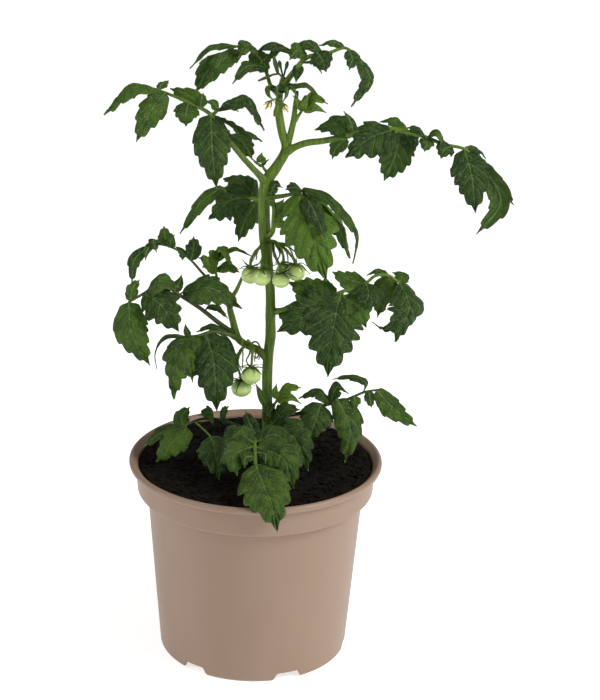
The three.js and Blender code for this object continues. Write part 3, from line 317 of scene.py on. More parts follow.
# Compound leaves: the stalk's points from the stem out, its first and last radius, and the
# leaflets, each as the points of its midrib, its width and the way its upper side looks
LEAVES = {
    "leaf_upper_left": {
        "stalk": [
            [3, -2, 370], [-14, -6, 389.5], [-26, -10, 406], [-36, -12, 421], [-50, -10, 428],
            [-63, -8, 433], [-75, -6, 437],
        ],
        "thick": [2.4, 0.9],
        "blades": [
            [[-36, -13, 421], [-34, -23, 398], [-31, -23, 370], 28, FRONT],
            [[-68, -9, 435], [-78, -17, 423], [-88, -20, 402], 20, FRONT],
            [[-52, -10, 428], [-53, -15, 421], [-53, -16, 413], 19, FRONT],
            [[-44, -9, 427], [-53, -1, 432.5], [-65, 3, 435], 16, FRONT_UP],
            [[-43, -11, 425], [-42, -14, 432], [-41, -14, 437], 9, FRONT],
            [[-30, -12, 425], [-11, -15, 433], [2, -13, 410], 20, RIGHT_UP],
            [[-31, -12, 424], [-34, -13, 430], [-40, -12, 430], 8, FRONT_UP],
            [[-29, -10, 417], [-14, 0, 407], [1, 5, 397], 18, UP],
            [[-21, -7, 405], [-11, 1, 395], [-6, 2, 384], 17, BACK],
            [[-74, -6, 437], [-91, -7, 438], [-111, -9, 418], 20, UP],
            [[-72, -6, 437], [-70, -2, 440], [-66, 2, 441], 9, UP],
            [[-30, -12, 424], [-24, -15, 430], [-16, -15, 424], 9, FRONT_UP],
        ],
    },
    "leaf_top_left": {
        "stalk": [
            [12, 8, 431], [7, 15, 434], [2, 24, 446], [-2, 28, 454], [-9, 28, 458],
            [-18, 26, 461], [-29, 23, 456],
        ],
        "thick": [1.6, 0.8],
        "blades": [
            [[-19, 27, 461], [-38, 30, 459], [-52, 30, 443], 12, LEFT_UP],
            [[-17, 24, 459], [-29, 12, 454], [-39.5, 6, 437], 17, FRONT_UP],
            [[-29, 22, 455], [-40, 20, 443], [-47, 17, 429], 17, BACK],
            [[-4, 26, 458], [-11, 15, 465], [-17, 8, 457], 16, FRONT_UP],
            [[-4, 28, 457], [6, 22, 464], [25, 16, 458], 14, UP],
            [[4, 22, 455], [13, 17, 463], [20, 14, 459], 8, FRONT_UP],
            [[4, 22, 446], [-11, 10, 450.5], [-21, 6, 438.5], 12, FRONT_UP],
            [[-8, 28, 457], [-1, 33, 451], [4, 32, 440], 17, BACK],
        ],
    },
    "leaf_top_right": {
        "stalk": [[15, 8, 437], [24, 4, 451], [31, 0, 460], [47, -4, 465], [58, -6, 469], [66, -6, 464]],
        "thick": [2.3, 0.8],
        "blades": [
            [[66, -6, 463], [76, -9, 448], [63, -11, 428], 18, RIGHT_UP],
            [[38, -3, 465], [42, -10, 461], [45, -12, 453], 18, FRONT],
            [[60, -6, 468], [63, -12, 463], [61, -13, 455], 12, FRONT],
            [[56, -4, 469], [49, 3, 471.5], [40, 8, 467], 11, UP],
            [[40, -1, 464], [31, 6, 470], [22, 11, 465], 14, UP],
            [[29, 2, 456], [37, -5, 458.8], [42, -7, 450.3], 8, RIGHT_UP],
            [[27, 3, 454], [25, 1, 449], [24, 0, 442], 8, FRONT],
            [[31, 1, 461], [25, -2, 466], [19, -3, 459], 13, FRONT],
        ],
    },
    "leaf_upper_right": {
        "stalk": [
            [19, 4, 391], [31, -2, 398], [45, -8, 402], [59, -14, 407], [78, -21, 415],
            [93, -25, 416], [111, -28, 413], [129, -30, 407], [143, -32, 404.5], [157, -32, 393.5],
        ],
        "thick": [2.6, 0.9],
        "blades": [
            [[66, -16, 409], [54, -9, 415], [38, -5, 409], 20, FRONT_UP],
            [[60, -13, 406], [53.5, -8, 397], [51, -6, 388], 12, BACK],
            [[66, -16, 410], [63, -14, 418], [58, -12, 425], 7, FRONT],
            [[93, -26, 416], [77, -36, 413], [59, -40, 399], 33, FRONT_UP],
            [[98, -22, 413], [95, -19, 395], [88, -17, 376], 27, BACK],
            [[101, -20, 414], [93, -14, 420], [84, -9, 417], 14, UP],
            [[101, -24, 414], [105, -24, 407], [106, -24, 397], 15, FRONT],
            [[115, -28, 411], [109, -31, 419], [102, -30, 419], 12, UP],
            [[118, -28, 411], [116.5, -33, 410], [114.5, -35, 403], 12, FRONT],
            [[130, -29, 405], [123, -31, 417], [116, -27, 411], 13, UP],
            [[134, -31, 406], [129, -36, 406], [126, -38, 399], 15, FRONT],
            [[143, -32, 405], [148.5, -43, 386], [151.5, -45, 362], 28, FRONT],
            [[157, -32, 393], [170, -34, 367], [154, -35, 343], 17, BACK],
            [[162, -32, 385], [171, -30, 375], [180, -28, 363], 10, BACK],
            [[156, -32, 394], [162, -30, 392], [168, -28, 383], 9, UP],
            [[144, -31, 405], [152, -27, 403.5], [159, -25, 396], 12, UP],
        ],
    },
    "leaf_middle_left": {
        "stalk": [[1, 2.5, 354], [-9, 14, 352], [-21, 22, 352], [-28, 26, 356]],
        "thick": [1.9, 0.9],
        "blades": [
            [[-28, 26, 356], [-43, 31, 343], [-59, 33, 317], 12, LEFT],
            [[-7, 11, 353], [-21, 17, 349], [-37, 20, 333], 34, FRONT_UP],
            [[-5, 12, 353], [-15, 22, 364], [-27, 32, 360], 27, UP],
            [[-3, 8, 351], [-10, 15, 336], [-15.5, 18, 317], 19, BACK],
        ],
    },
    "leaf_middle_right": {
        "stalk": [[5, -2, 357], [19, -8, 361], [31, -12, 366]],
        "thick": [1.9, 1.1],
        "blades": [
            [[30, -12, 367], [49.5, -8, 359.5], [70, -6, 333], [68.5, -6, 309.5], 15, RIGHT_UP],
            [[31, -13, 365], [54, -13, 346], [65, -14, 316], 28, BACK_UP],
            [[28, -15, 365], [38, -38, 340], [48, -44, 309], 43, FRONT],
            [[29, -13, 367], [24, -17, 370], [18, -20, 369], 12, FRONT_UP],
            [[8, -4, 360], [11, -7, 369], [16, -9, 367], 9, FRONT_UP],
            [[31, -14, 364], [36.5, -30, 360.5], [47.5, -44, 340], 15, FRONT],
        ],
    },
    "leaf_middle": {
        "stalk": [
            [12, 0, 269], [30, -10, 278], [48, -20, 287], [59, -25, 294], [77, -24, 301],
            [84, -22, 306], [93, -20, 306], [102, -19, 300],
        ],
        "thick": [1.9, 0.9],
        "blades": [
            [[59, -26, 293], [54, -40, 271], [51, -43, 236], 45, FRONT],
            [[57, -26, 291], [36, -32, 279], [14, -28, 264], 37, FRONT],
            [[56, -24, 291], [39, -19, 294], [21, -14, 297], 26, FRONT_UP],
            [[43, -17, 283], [27.5, -8, 274.3], [12.5, 6.5, 265.7], 24, FRONT_UP],
            [[61, -27, 292], [72, -33, 285], [78, -32, 270], 26, FRONT],
            [[77, -24, 300], [65, -22, 303], [53, -20, 308], 18, FRONT_UP],
            [[77, -25, 301], [79, -34, 295], [74, -37, 286], 25, FRONT],
            [[102, -20, 300], [109, -28, 286], [99.5, -28, 258], 33, RIGHT],
            [[93, -19, 305], [90, -10, 292], [93, -8, 275], 14, BACK],
            [[98, -17, 301], [103, -12, 274], [93, -11, 261], [83, -12, 267], 9, BACK],
            [[94, -20, 304], [91, -14, 290], [87, -13, 271], 18, FRONT],
            [[93, -20, 305], [85, -15, 308], [78, -13, 303], 10, UP],
            [[102, -18, 300], [104, -12, 304], [97, -8, 304], 12, UP],
        ],
    },
    "leaf_lower_right": {
        "stalk": [[11, -2, 187], [31, -6, 191], [51, -8, 199], [65, -8, 203], [80, -8, 210], [90, -8, 212]],
        "thick": [1.7, 0.8],
        "blades": [
            [[89, -8, 211], [102, -13, 199], [119, -17, 187], 18, FRONT_UP],
            [[59, -10, 205], [69.5, -20, 187], [66, -25, 160], 22, FRONT],
            [[48, -10, 201], [44, -18, 191], [39.5, -21, 175.5], 26, FRONT],
            [[54, -8, 201], [45, -3, 208], [31, -3, 202], 16, UP],
            [[72, -9, 207], [73, -12, 204], [72, -14, 199], 9, FRONT],
            [[83, -9, 211], [84, -12, 205], [85, -14, 200], 9, FRONT],
            [[79, -8, 210], [81, -6, 216], [71, -2, 220], [56, 2, 216], 10, UP],
            [[55, -7, 201], [60, -8, 214], [68, -9, 209], 11, FRONT_UP],
        ],
    },
    "leaf_front": {
        "stalk": [[7, -4, 168], [1, -26, 181], [-1, -48, 185], [0, -66, 176]],
        "thick": [1.9, 1.2],
        "blades": [
            [[0, -66, 177], [6, -86, 169], [13, -99, 157], [16, -102, 140], 40, FRONT_UP],
            [[1, -52, 183], [20, -62, 179], [28, -68, 158], 30, FRONT],
            [[1, -46, 185], [13, -44, 190], [25, -48, 184], 21, FRONT_UP],
            [[-2, -50, 186], [-12, -48, 192], [-22, -47, 185], 18, FRONT_UP],
            [[1, -28, 181], [-19, -36, 192], [-26, -44, 166], 14, LEFT_UP],
            [[-3, -53, 184], [-16, -60, 179], [-13, -65, 166], 20, FRONT],
            [[1, -57, 181], [7, -61, 182], [7, -65, 176], 9, FRONT],
            [[-1, -60, 180], [-7, -63, 180], [-8, -66, 173], 9, FRONT],
            [[1, -28, 182], [-5, -26, 192], [-8, -24, 200], 12, FRONT],
        ],
    },
    "leaf_front_right": {
        "stalk": [[9.5, -3, 177], [12, -16, 187]],
        "thick": [1.5, 1.1],
        "blades": [
            [[12, -15, 187], [29, -29, 180], [39, -39, 159], 28, FRONT],
            [[12, -15, 187], [21, -19, 199], [32, -22, 201], 17, FRONT_UP],
            [[11, -13, 185], [10, -12, 194], [14, -10, 199], 12, FRONT],
        ],
    },
    "leaf_base_left": {
        "stalk": [[5, 3, 170], [-12, 12, 172], [-26, 12, 177], [-39, 8, 180], [-52, -2, 179], [-56, -5, 177]],
        "thick": [1.5, 0.9],
        "blades": [
            [[-32, 9, 178], [-34, 1, 188], [-43, -5, 188], 14, FRONT_UP],
            [[-27, 10, 178], [-25, 1, 188], [-21, -3, 195], 12, FRONT_UP],
            [[-34, -12, 174], [-30, -33, 169], [-26.5, -48, 155], 27, FRONT_UP],
            [[-52, -5, 177], [-62, -14, 170], [-74, -18, 155], 22, FRONT_UP],
            [[-55, -5, 178], [-71, -7, 174], [-84, -9, 163], 12, FRONT_UP],
            [[-54, -4, 178], [-56, 2, 184], [-50, 6, 190], 13, FRONT_UP],
        ],
    },
    "leaf_side_left": {
        "stalk": [
            [-18, -1, 252], [-30, -6, 263], [-43, -10, 275], [-56, -14, 285], [-71, -16, 295],
            [-83, -18, 288], [-94, -18, 281],
        ],
        "thick": [1.9, 0.9],
        "blades": [
            [[-55, -14, 288], [-33, -24, 295], [-12, -22, 279], 26, FRONT_UP],
            [[-37.5, -8, 274], [-30, -5, 274], [-22, -5, 265], 10, UP],
            [[-81, -17, 290], [-71, -24, 300], [-57, -25, 296], 18, FRONT_UP],
            [[-83, -18, 288], [-70, -28, 283], [-57, -31, 264], 31, FRONT],
            [[-94, -18, 281], [-91, -28, 261], [-78, -30, 237], 26, FRONT],
            [[-92, -17, 282], [-91, -15, 291], [-86, -13, 297], 10, FRONT],
            [[-68, -15, 295], [-67, -13, 298], [-68, -11, 302], 8, FRONT],
            [[-61, -14, 290], [-57, -13, 296], [-56, -12, 301], 8, FRONT],
        ],
    },
    "leaf_side_top": {
        "stalk": [
            [-20, 2, 268], [-30, 6, 285], [-40, 8, 294], [-51, 12, 305], [-62, 14, 312],
            [-73, 14, 315], [-83, 12, 314],
        ],
        "thick": [1.2, 0.7],
        "blades": [
            [[-82, 12, 313], [-91, 8, 305], [-93, 6, 287], 10, FRONT_UP],
            [[-78, 13, 316], [-82, 8, 312], [-83, 6, 305], 6, FRONT],
            [[-71, 14, 316], [-77, 9, 320], [-75, 7, 311], 9, FRONT_UP],
            [[-67, 14, 314], [-69, 16, 321], [-70, 18, 328], 12, FRONT],
            [[-66, 13, 313], [-64, 11, 320], [-62, 10, 324], 8, FRONT],
            [[-50, 12, 303], [-48, 11, 314], [-48, 9, 323], 13, FRONT],
            [[-57, 13, 309], [-56, 11, 307], [-56, 11, 304], 5, FRONT],
            [[-55, 13, 308], [-58, 17, 311], [-62, 19, 312], 6, UP],
        ],
    },
    "shoot_side_tip": {
        "stalk": [[-21, 1, 272], [-27, 0, 285], [-31, 3, 296], [-31, 5, 309]],
        "thick": [1.2, 0.9],
        "blades": [
            [[-31, 3, 297], [-39, 2, 308], [-44, 0, 310], 10, FRONT_UP],
            [[-31, 3, 301], [-36, -3, 312], [-41, -5, 304], 12, FRONT],
            [[-31, 5, 307], [-27.5, -1, 319.5], [-19.5, -5, 307], 13, RIGHT_UP],
            [[-31, 5, 307], [-25, 0, 315], [-21, -2, 306], 9, FRONT_UP],
            [[-31, 5, 299], [-24, 3, 303], [-14, 1, 299], 11, FRONT_UP],
            [[-31, 5, 306], [-19, 5, 316], [-5, 2, 311], 8, UP],
        ],
    },
    "leaf_hanging_left": {
        "stalk": [[-16, -4, 250], [-23, -10, 255], [-33, -14, 258], [-44, -18, 256], [-52, -17, 255]],
        "thick": [1.7, 0.9],
        "blades": [
            [[-43, -18, 256], [-55, -25, 252], [-61, -31, 236], [-60, -33, 212], 30, LEFT],
            [[-38, -16, 257], [-32, -27, 242], [-29, -35, 204], 36, FRONT],
            [[-22, -10, 255], [-34, -7, 260], [-45, -7, 255], 12, UP],
            [[-51, -17, 255], [-68, -15, 254], [-75, -14, 241], [-74, -14, 228], 7, LEFT_UP],
            [[-50, -16, 255], [-52, -14, 258], [-53, -12, 263], 5, FRONT],
            [[-46, -18, 256], [-49, -24, 245], [-47, -27, 223], 14, FRONT],
            [[-26, -13, 255], [-20, -10, 243], [-14, -6, 229], 7, FRONT],
        ],
    },
    "shoot_axil_upper": {
        "stalk": [[5, 1.5, 375], [2, 1, 379], [1, 0.5, 386]],
        "thick": [0.9, 0.8],
        "blades": [
            [[1.9, 0.9, 380], [-3, -1, 383], [-7, -1, 387], 5, UP],
            [[1.5, 0.7, 382.5], [0, -2, 387], [1, -3, 391], 7, FRONT],
            [[1.7, 0.8, 381], [4, 0, 384], [6, 1, 385], 5, UP],
        ],
    },
    "shoot_axil_middle": {
        "stalk": [[6, -2.5, 328], [9.5, -6, 333], [10, -8, 342], [10.4, -8.5, 353]],
        "thick": [1.8, 1.6],
        "blades": [
            [[11, -8, 348], [14.5, -10, 354.5], [17, -11, 359], 8, FRONT],
            [[11, -8.5, 344], [17, -11, 349], [22, -14, 349], 10, FRONT_UP],
            [[11, -8.5, 342], [15, -10, 340.5], [20, -11, 342.5], 8, FRONT],
            [[10.4, -9, 352], [9, -10, 356], [11, -11, 360], 5, FRONT],
        ],
    },
    "shoot_axil_lower": {
        "stalk": [[9.5, -3, 194], [14, -7, 200], [16, -8, 206]],
        "thick": [1.2, 0.8],
        "blades": [
            [[15.5, -8, 203], [13.5, -9, 209], [14.5, -9, 216], 6, FRONT],
            [[16, -8, 205], [24, -9, 213], [33, -9, 213], 10, FRONT_UP],
            [[15, -7, 202], [25, -10, 206], [33, -11, 201], 8, FRONT_UP],
            [[10, -4, 195.5], [4, -8, 205], [-1, -8, 215.5], 8, FRONT],
        ],
    },
    "shoot_tip_right": {
        "stalk": [[24, 4, 413], [27, 3, 418], [30, 2, 423]],
        "thick": [1.2, 0.9],
        "blades": [
            [[29, 2, 422], [38, 0, 431], [47, -2, 427.5], 10, FRONT_UP],
            [[29, 2, 422], [38, -4, 425], [46, -6, 422], 7, FRONT],
            [[29, 2, 422], [33, 4, 428], [38, 4, 435], 9, FRONT],
            [[29, 2, 421], [30, -3, 427], [33, -5, 434], 6, FRONT],
            [[28.5, 2, 421], [26, -1, 428], [22, -2, 433], 5, FRONT],
        ],
    },
    "shoot_tip_top": {
        "stalk": [[14, 7, 433], [13, 2, 434], [12, 0, 436]],
        "thick": [1.1, 1.1, 0.9],
        "blades": [
            [[12, 1, 436], [4, -7, 441], [4.5, -12, 436], [9, -14, 431.5], 7, LEFT],
            [[12, 1, 435], [17.5, -8, 441], [17.5, -12, 436], [15, -14, 431.5], 7, RIGHT],
            [[12, 0, 435], [11, -9, 441.5], [10.5, -12, 436], 8, FRONT],
            [[13, 0, 436], [21, -4, 440], [25, -6, 433], 8, FRONT_UP],
            [[15, 1, 437], [31, -1, 441], [41, -4, 433], 9, UP],
        ],
    },
}

# The shoots whose blades are still young, thin and bright
YOUNG_SHOOTS = [
    "shoot_side_tip",
    "shoot_axil_upper",
    "shoot_axil_middle",
    "shoot_axil_lower",
    "shoot_tip_right",
]

# How light the green of some blades is, from 0 to 1: partly a blade's own tone, as on young shoots, and
# partly painted light on blades that stand lit and shone through, and painted shade on blades that lie in
# shadow. The other blades take a chance tone.
BLADE_TONES_AND_PAINTED_LIGHT = {
    "leaf_middle_right": {0: 0.5, 1: 1, 2: 1, 5: 0},
    "leaf_middle_left": {0: 0.6, 1: 0.1, 2: 0.3, 3: 0.9},
    "leaf_upper_right": {0: 0.1, 3: 0, 4: 0.9, 10: 0.1, 11: 0, 12: 0.8, 15: 0.1},
    "leaf_upper_left": {0: 0.1, 1: 0.5, 5: 0.1, 8: 0.7, 9: 0.7},
    "leaf_hanging_left": {0: 0.5, 1: 0, 5: 1},
    "leaf_middle": {0: 0.1, 1: 0.2, 4: 0.6, 7: 0.1, 10: 0.9},
    "leaf_top_left": {0: 0.4, 1: 0.4, 2: 0.8},
    "leaf_top_right": {0: 0.2, 1: 0},
    "leaf_front": {0: 0.45, 1: 0.35, 2: 0.15, 3: 0.3, 4: 0.3, 5: 0.5, 6: 0.3, 7: 0.3, 8: 0.2},
    "leaf_front_right": {0: 0.25, 1: 0.15, 2: 0.2},
    "leaf_base_left": {0: 0.3, 2: 0.3, 3: 0.8},
    "leaf_lower_right": {0: 0.5, 1: 0.4, 2: 0.2},
    "shoot_axil_lower": {0: 1, 1: 0.9, 2: 0.9, 3: 0},
    "shoot_tip_right": {0: 0.9, 1: 0.9, 2: 1, 3: 1, 4: 1, 5: 1},
}

# How brown and dark a leaf's stalk is, from 0 to 1
STALK_BROWN = {
    "leaf_lower_right": 0.9,
    "leaf_side_left": 0.8,
    "leaf_side_top": 0.5,
    "leaf_base_left": 0.6,
    "leaf_hanging_left": 0.4,
    "leaf_front": 0.3,
    "leaf_front_right": 0.4,
    "leaf_upper_left": 0.3,
}

# Green fruit: centre, radius, half height
FRUITS = {
    "tomato_upper_1": {"centre": [-6, -11.5, 301.2], "radius": 6.7, "half": 6.3},
    "tomato_upper_2": {"centre": [1.9, -23, 303.8], "radius": 6.7, "half": 6.2},
    "tomato_upper_3": {"centre": [16, -26, 302.9], "radius": 6.4, "half": 5.5},
    "tomato_upper_4": {"centre": [26.8, -17, 306], "radius": 6.8, "half": 6.2},
    "tomato_upper_5": {"centre": [18.2, -6.5, 303.2], "radius": 5.8, "half": 5.6},
    "tomato_lower_1": {"centre": [-4.4, -20, 226.7], "radius": 7.3, "half": 6.4},
    "tomato_lower_2": {"centre": [-11.4, -15, 214.5], "radius": 7.7, "half": 6.4},
}

# Thin withered flower stalks that curl round both trusses
SPURS = {
    "truss_lower": [
        [[-8, -11, 247], [-7, -14, 252], [-1.8, -16, 244], [-2, -19, 237]],
        [[-8, -11, 247], [-11, -14, 252], [-10.6, -17, 241], [-11, -19, 231]],
        [[-6, -10, 247], [-1, -12, 250], [2.5, -12, 243], [1, -13, 236]],
        [[-13, -14, 243], [-17, -17, 238], [-20, -19, 230], [-23, -18, 223]],
        [[-12, -14, 244], [-14, -17, 236], [-11.5, -20, 230]],
        [[-3, -8, 245], [1, -9, 242], [-0.5, -12, 237], [-4, -13, 240]],
        [[-5, -9, 246], [-6, -12, 240], [-8, -14, 236], [-6, -16, 232]],
    ],
    "truss_upper": [
        [[7, -8, 326], [3, -12, 327], [-1, -15, 322], [-2, -17, 315]],
        [[11, -10, 326], [16, -13, 326], [20, -17, 320], [21, -20, 314]],
        [[9, -9, 326], [9, -15, 325], [9, -20, 318], [10, -22, 312]],
        [[12, -10, 325], [18, -9, 325], [25, -10, 320], [30, -12, 317]],
        [[7, -8, 326], [2, -14, 325], [-3, -17, 318], [-6, -16, 311]],
        [[8, -9, 326], [4, -15, 322], [1, -18, 314], [-2, -19, 311]],
        [[12, -10, 326], [16, -16, 324], [17, -20, 316], [15, -22, 311]],
        [[12, -10, 325], [21, -14, 324], [25, -16, 317], [27, -17, 314]],
        [[12, -9, 324], [15, -12, 318], [12, -15, 312]],
    ],
}

# Fruit stalks: the main stalk's points, its first and last radius, and the points of the stalk
# that each fruit hangs from
TRUSSES = {
    "truss_upper": {
        "points": [[3.5, -3.5, 323], [7, -8, 326], [12, -10, 326], [13, -11, 323]],
        "thick": [1.9, 1.2],
        "fruits": {
            "tomato_upper_1": [[5.5, -6, 325], [-2, -11, 320], [-6, -12, 313]],
            "tomato_upper_2": [[7, -8, 325.5], [3, -17, 319], [2, -22, 314]],
            "tomato_upper_3": [[10, -9.5, 326], [11, -19, 320], [15, -25, 313]],
            "tomato_upper_4": [[12, -10, 326], [18, -14, 323], [24, -16, 317]],
            "tomato_upper_5": [[12, -10, 326], [17, -8, 317]],
        },
    },
    "truss_lower": {
        "points": [[3, -4, 239], [-2, -8, 244], [-8, -11, 247], [-13, -14, 243]],
        "thick": [1.6, 1.1],
        "fruits": {
            "tomato_lower_1": [[-8, -11, 247], [-4, -17, 246], [-4, -20, 239]],
            "tomato_lower_2": [[-12, -14, 244], [-15, -14, 234], [-13, -14, 226]],
        },
    },
}

# Open flowers at the top: the neck and tip of each, and how wide it is open from 0 to 1
FLOWERS = {
    "flower_left": {"neck": [6.5, -9, 430.5], "tip": [1.8, -12, 424], "spread": 1},
    "flower_right": {"neck": [15.4, -9, 428.6], "tip": [19.6, -12, 422], "spread": 0.4},
}
FLOWER_STALK = {"points": [[13, 7, 428], [11, -4, 430], [10, -8, 429]], "thick": [1.1, 0.8]}
FLOWER_PEDICELS = [
    [[11, -4, 430], [9, -7, 431.5], [6.5, -9, 430.5]],
    [[11, -4, 430], [13.5, -7, 430], [15.4, -9, 428.6]],
]

# Closed buds: those above the crown height sit on the stem's tip, and the others hang
CROWN_HEIGHT = 440
BUDS = [
    {"stalk": [[15, 8, 443], [11, 8, 447]], "neck": [11, 8, 447], "tip": [8, 7, 459], "radius": 1.6},
    {"stalk": [[15, 8, 443], [17, 12, 450]], "neck": [17, 12, 449], "tip": [18, 13, 454], "radius": 1.3},
    {"stalk": [[15, 8, 443], [13, 14, 450]], "neck": [13, 14, 449], "tip": [12, 15, 454], "radius": 1.3},
    {"stalk": [[12, 8, 446], [8, 10, 445]], "neck": [8, 10, 445], "tip": [-3, 6, 441], "radius": 1},
    {"stalk": [[10, -8, 430], [11, -10, 427]], "neck": [11, -10, 428], "tip": [9, -11, 420], "radius": 1.4},
]
SEPALS = 5
FRUIT_SEPALS = 6
FLOWER_PETALS = 5
PETAL_WIDTH = 2.4
FLOWER_SEPAL_WIDTH = 1.4
FRUIT_SEPAL_WIDTHS = (1.5, 2.0)

# Camera, as solved from the pot's ellipses
CAMERA_PLACE = (0, -1.591, 0.849)
CAMERA_TILT = 69.04
CAMERA_ROLL = 1.36
CAMERA_TURN = -1.13
CAMERA_LENS = 118.6

# Large soft lights: place and aim of each
KEY_PLACE = (1.4, -0.75, 1.5)
KEY_AIM = (0, 0, 0.22)
FILL_PLACE = (-1.6, -0.4, 1.0)
FILL_AIM = (0, 0, 0.2)
LIGHT_SIZE = 0.9


class Path:
    """A smooth curve through points, read at shares of its length"""

    FINENESS = 12
    STEP = 0.02
    SAMPLES = 60

    def __init__(self, points):
        points = [Vector(p) for p in points]
        if len(points) == 2:
            points.insert(1, (points[0] + points[1]) / 2)
        before = points[0] * 2 - points[1]
        after = points[-1] * 2 - points[-2]
        run = [before, *points, after]
        self.places = [points[0]]
        for i in range(1, len(run) - 2):
            self._add_stretch(run[i - 1:i + 3])
        self.marks = [0.0]
        for low, high in zip(self.places, self.places[1:]):
            self.marks.append(self.marks[-1] + (high - low).length)
        self.length = self.marks[-1]

    def _add_stretch(self, four):
        """Adds the curve between the middle two of four points"""
        p0, p1, p2, p3 = four
        d0, d1, d2 = [max((b - a).length, SHORTEST_STEP) ** 0.5 for a, b in zip(four, four[1:])]
        out = ((p1 - p0) / d0 - (p2 - p0) / (d0 + d1) + (p2 - p1) / d1) * d1
        into = ((p2 - p1) / d1 - (p3 - p1) / (d1 + d2) + (p3 - p2) / d2) * d1
        for k in range(1, self.FINENESS + 1):
            t = k / self.FINENESS
            bend = (p2 - p1) * 3 - out * 2 - into
            twist = (p1 - p2) * 2 + out + into
            self.places.append(p1 + out * t + bend * t * t + twist * t ** 3)

    def _find(self, share):
        """The place before a share of the length, and how far the share is towards the next place"""
        wanted = min(max(share, 0), 1) * self.length
        low = 0
        high = len(self.marks) - 1
        while high - low > 1:
            middle = (low + high) // 2
            if self.marks[middle] <= wanted:
                low = middle
            else:
                high = middle
        span = max(self.marks[high] - self.marks[low], TINY)
        return low, (wanted - self.marks[low]) / span

    def at(self, share):
        """The point at a share of the length"""
        low, rest = self._find(share)
        return self.places[low].lerp(self.places[low + 1], rest)

    def heading(self, share):
        """The way the curve runs at a share of its length"""
        return (self.at(share + self.STEP) - self.at(share - self.STEP)).normalized()

    def nearest(self, point):
        """The place on the curve that is nearest to a point"""
        places = (self.at(i / self.SAMPLES) for i in range(self.SAMPLES + 1))
        return min(places, key=lambda place: (place - point).length)


class Piece:
    """Points, faces and finishes of one piece in millimetres, gathered before it becomes a mesh"""

    def __init__(self):
        self.points = []
        self.faces = []
        self.finishes = []
        self.veins = []
        self.tint = []

    def add_point(self, point, veins=(0.5, 0.5), tint=(0.5, 0)):
        """Adds a point with its place in the vein map and the tint map, and gives its number"""
        self.points.append(point)
        self.veins.append(veins)
        self.tint.append(tint)
        return len(self.points) - 1

    def add_face(self, corners, finish=0):
        self.faces.append(corners)
        self.finishes.append(finish)

    def plain_object(self, name):
        """The points and faces as an object, with nothing else"""
        mesh = bpy.data.meshes.new(name)
        mesh.from_pydata([p * MM for p in self.points], [], self.faces)
        made = bpy.data.objects.new(name, mesh)
        bpy.context.scene.collection.objects.link(made)
        return made

    def build(self, name, materials, replaced=()):
        """The piece with its finishes and maps, joined to the frame"""
        made = self.plain_object(name)
        mesh = made.data
        for material in materials:
            mesh.materials.append(material)
        mesh.polygons.foreach_set("material_index", self.finishes)
        corners = [loop.vertex_index for loop in mesh.loops]
        for label, values in (("veins", self.veins), ("tint", self.tint)):
            layer = mesh.uv_layers.new(name=label)
            layer.data.foreach_set("uv", [x for corner in corners for x in values[corner]])
        smooth(mesh, SHARP_ANGLE)
        place_in_frame(made, replaced)
        return made


def smooth(mesh, sharp_angle):
    """Shades a mesh smooth, but for edges that bend by more than an angle in degrees"""
    mesh.polygons.foreach_set("use_smooth", [True] * len(mesh.polygons))
    mesh.set_sharp_from_angle(angle=math.radians(sharp_angle))


def place_in_frame(made, replaced):
    """Joins a visible piece to the frame, and hides the nodes it stands for"""
    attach(made, "root")
    if replaced:
        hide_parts(*replaced)


def blend_radii(radii, share):
    """The radius at a share of a tube, from the radii spread evenly over it"""
    along = min(max(share, 0), 1) * (len(radii) - 1)
    low = min(int(along), len(radii) - 2)
    return radii[low] + (radii[low + 1] - radii[low]) * (along - low)


def round_axis(angle, radius=1.0, height=0.0):
    """The point at an angle round the upright axis"""
    return Vector((radius * math.cos(angle), radius * math.sin(angle), height))


def on_axis(height):
    """The point at a height on the upright axis"""
    return Vector((0, 0, height))


def close_rings(piece, rings, low_end, high_end, finish=0):
    """Joins rings of points that follow one another into a skin, closed by a point at each end"""
    count = len(rings[0])
    for k in range(count):
        after = (k + 1) % count
        piece.add_face((rings[0][after], rings[0][k], low_end), finish)
        piece.add_face((rings[-1][k], rings[-1][after], high_end), finish)
        for low, high in zip(rings, rings[1:]):
            piece.add_face((low[k], low[after], high[after], high[k]), finish)


def add_tube(piece, path, radius_at, sides, step, finish=0, ripple=0, tint=0):
    """A round closed tube along a path. Its skin ripples in lengthwise ribs by a share of its radius."""
    count = max(FEWEST_STEPS, math.ceil(path.length / step))
    across = path.heading(0).orthogonal().normalized()
    rings = []
    for i in range(count + 1):
        share = i / count
        heading = path.heading(share)
        across = (across - heading * across.dot(heading)).normalized()
        beside = heading.cross(across)
        centre = path.at(share)
        wander = noise.noise(centre * RIB_WANDER_SCALE) * 2
        ring = []
        for k in range(sides):
            angle = FULL_TURN * k / sides
            out = across * math.cos(angle) + beside * math.sin(angle)
            rib = 1 + ripple * math.sin(RIBS * angle + wander)
            rib += ripple * noise.noise(centre * RIB_NOISE_SCALE + out)
            place = centre + out * radius_at(share) * rib
            ring.append(piece.add_point(place, (k / sides, share), (tint, share)))
        rings.append(ring)
    ends = []
    for share, heading in ((0, -path.heading(0)), (1, path.heading(1))):
        tip = path.at(share) + heading * radius_at(share) * END_BULGE
        ends.append(piece.add_point(tip, (0.5, share), (tint, share)))
    close_rings(piece, rings, *ends, finish)


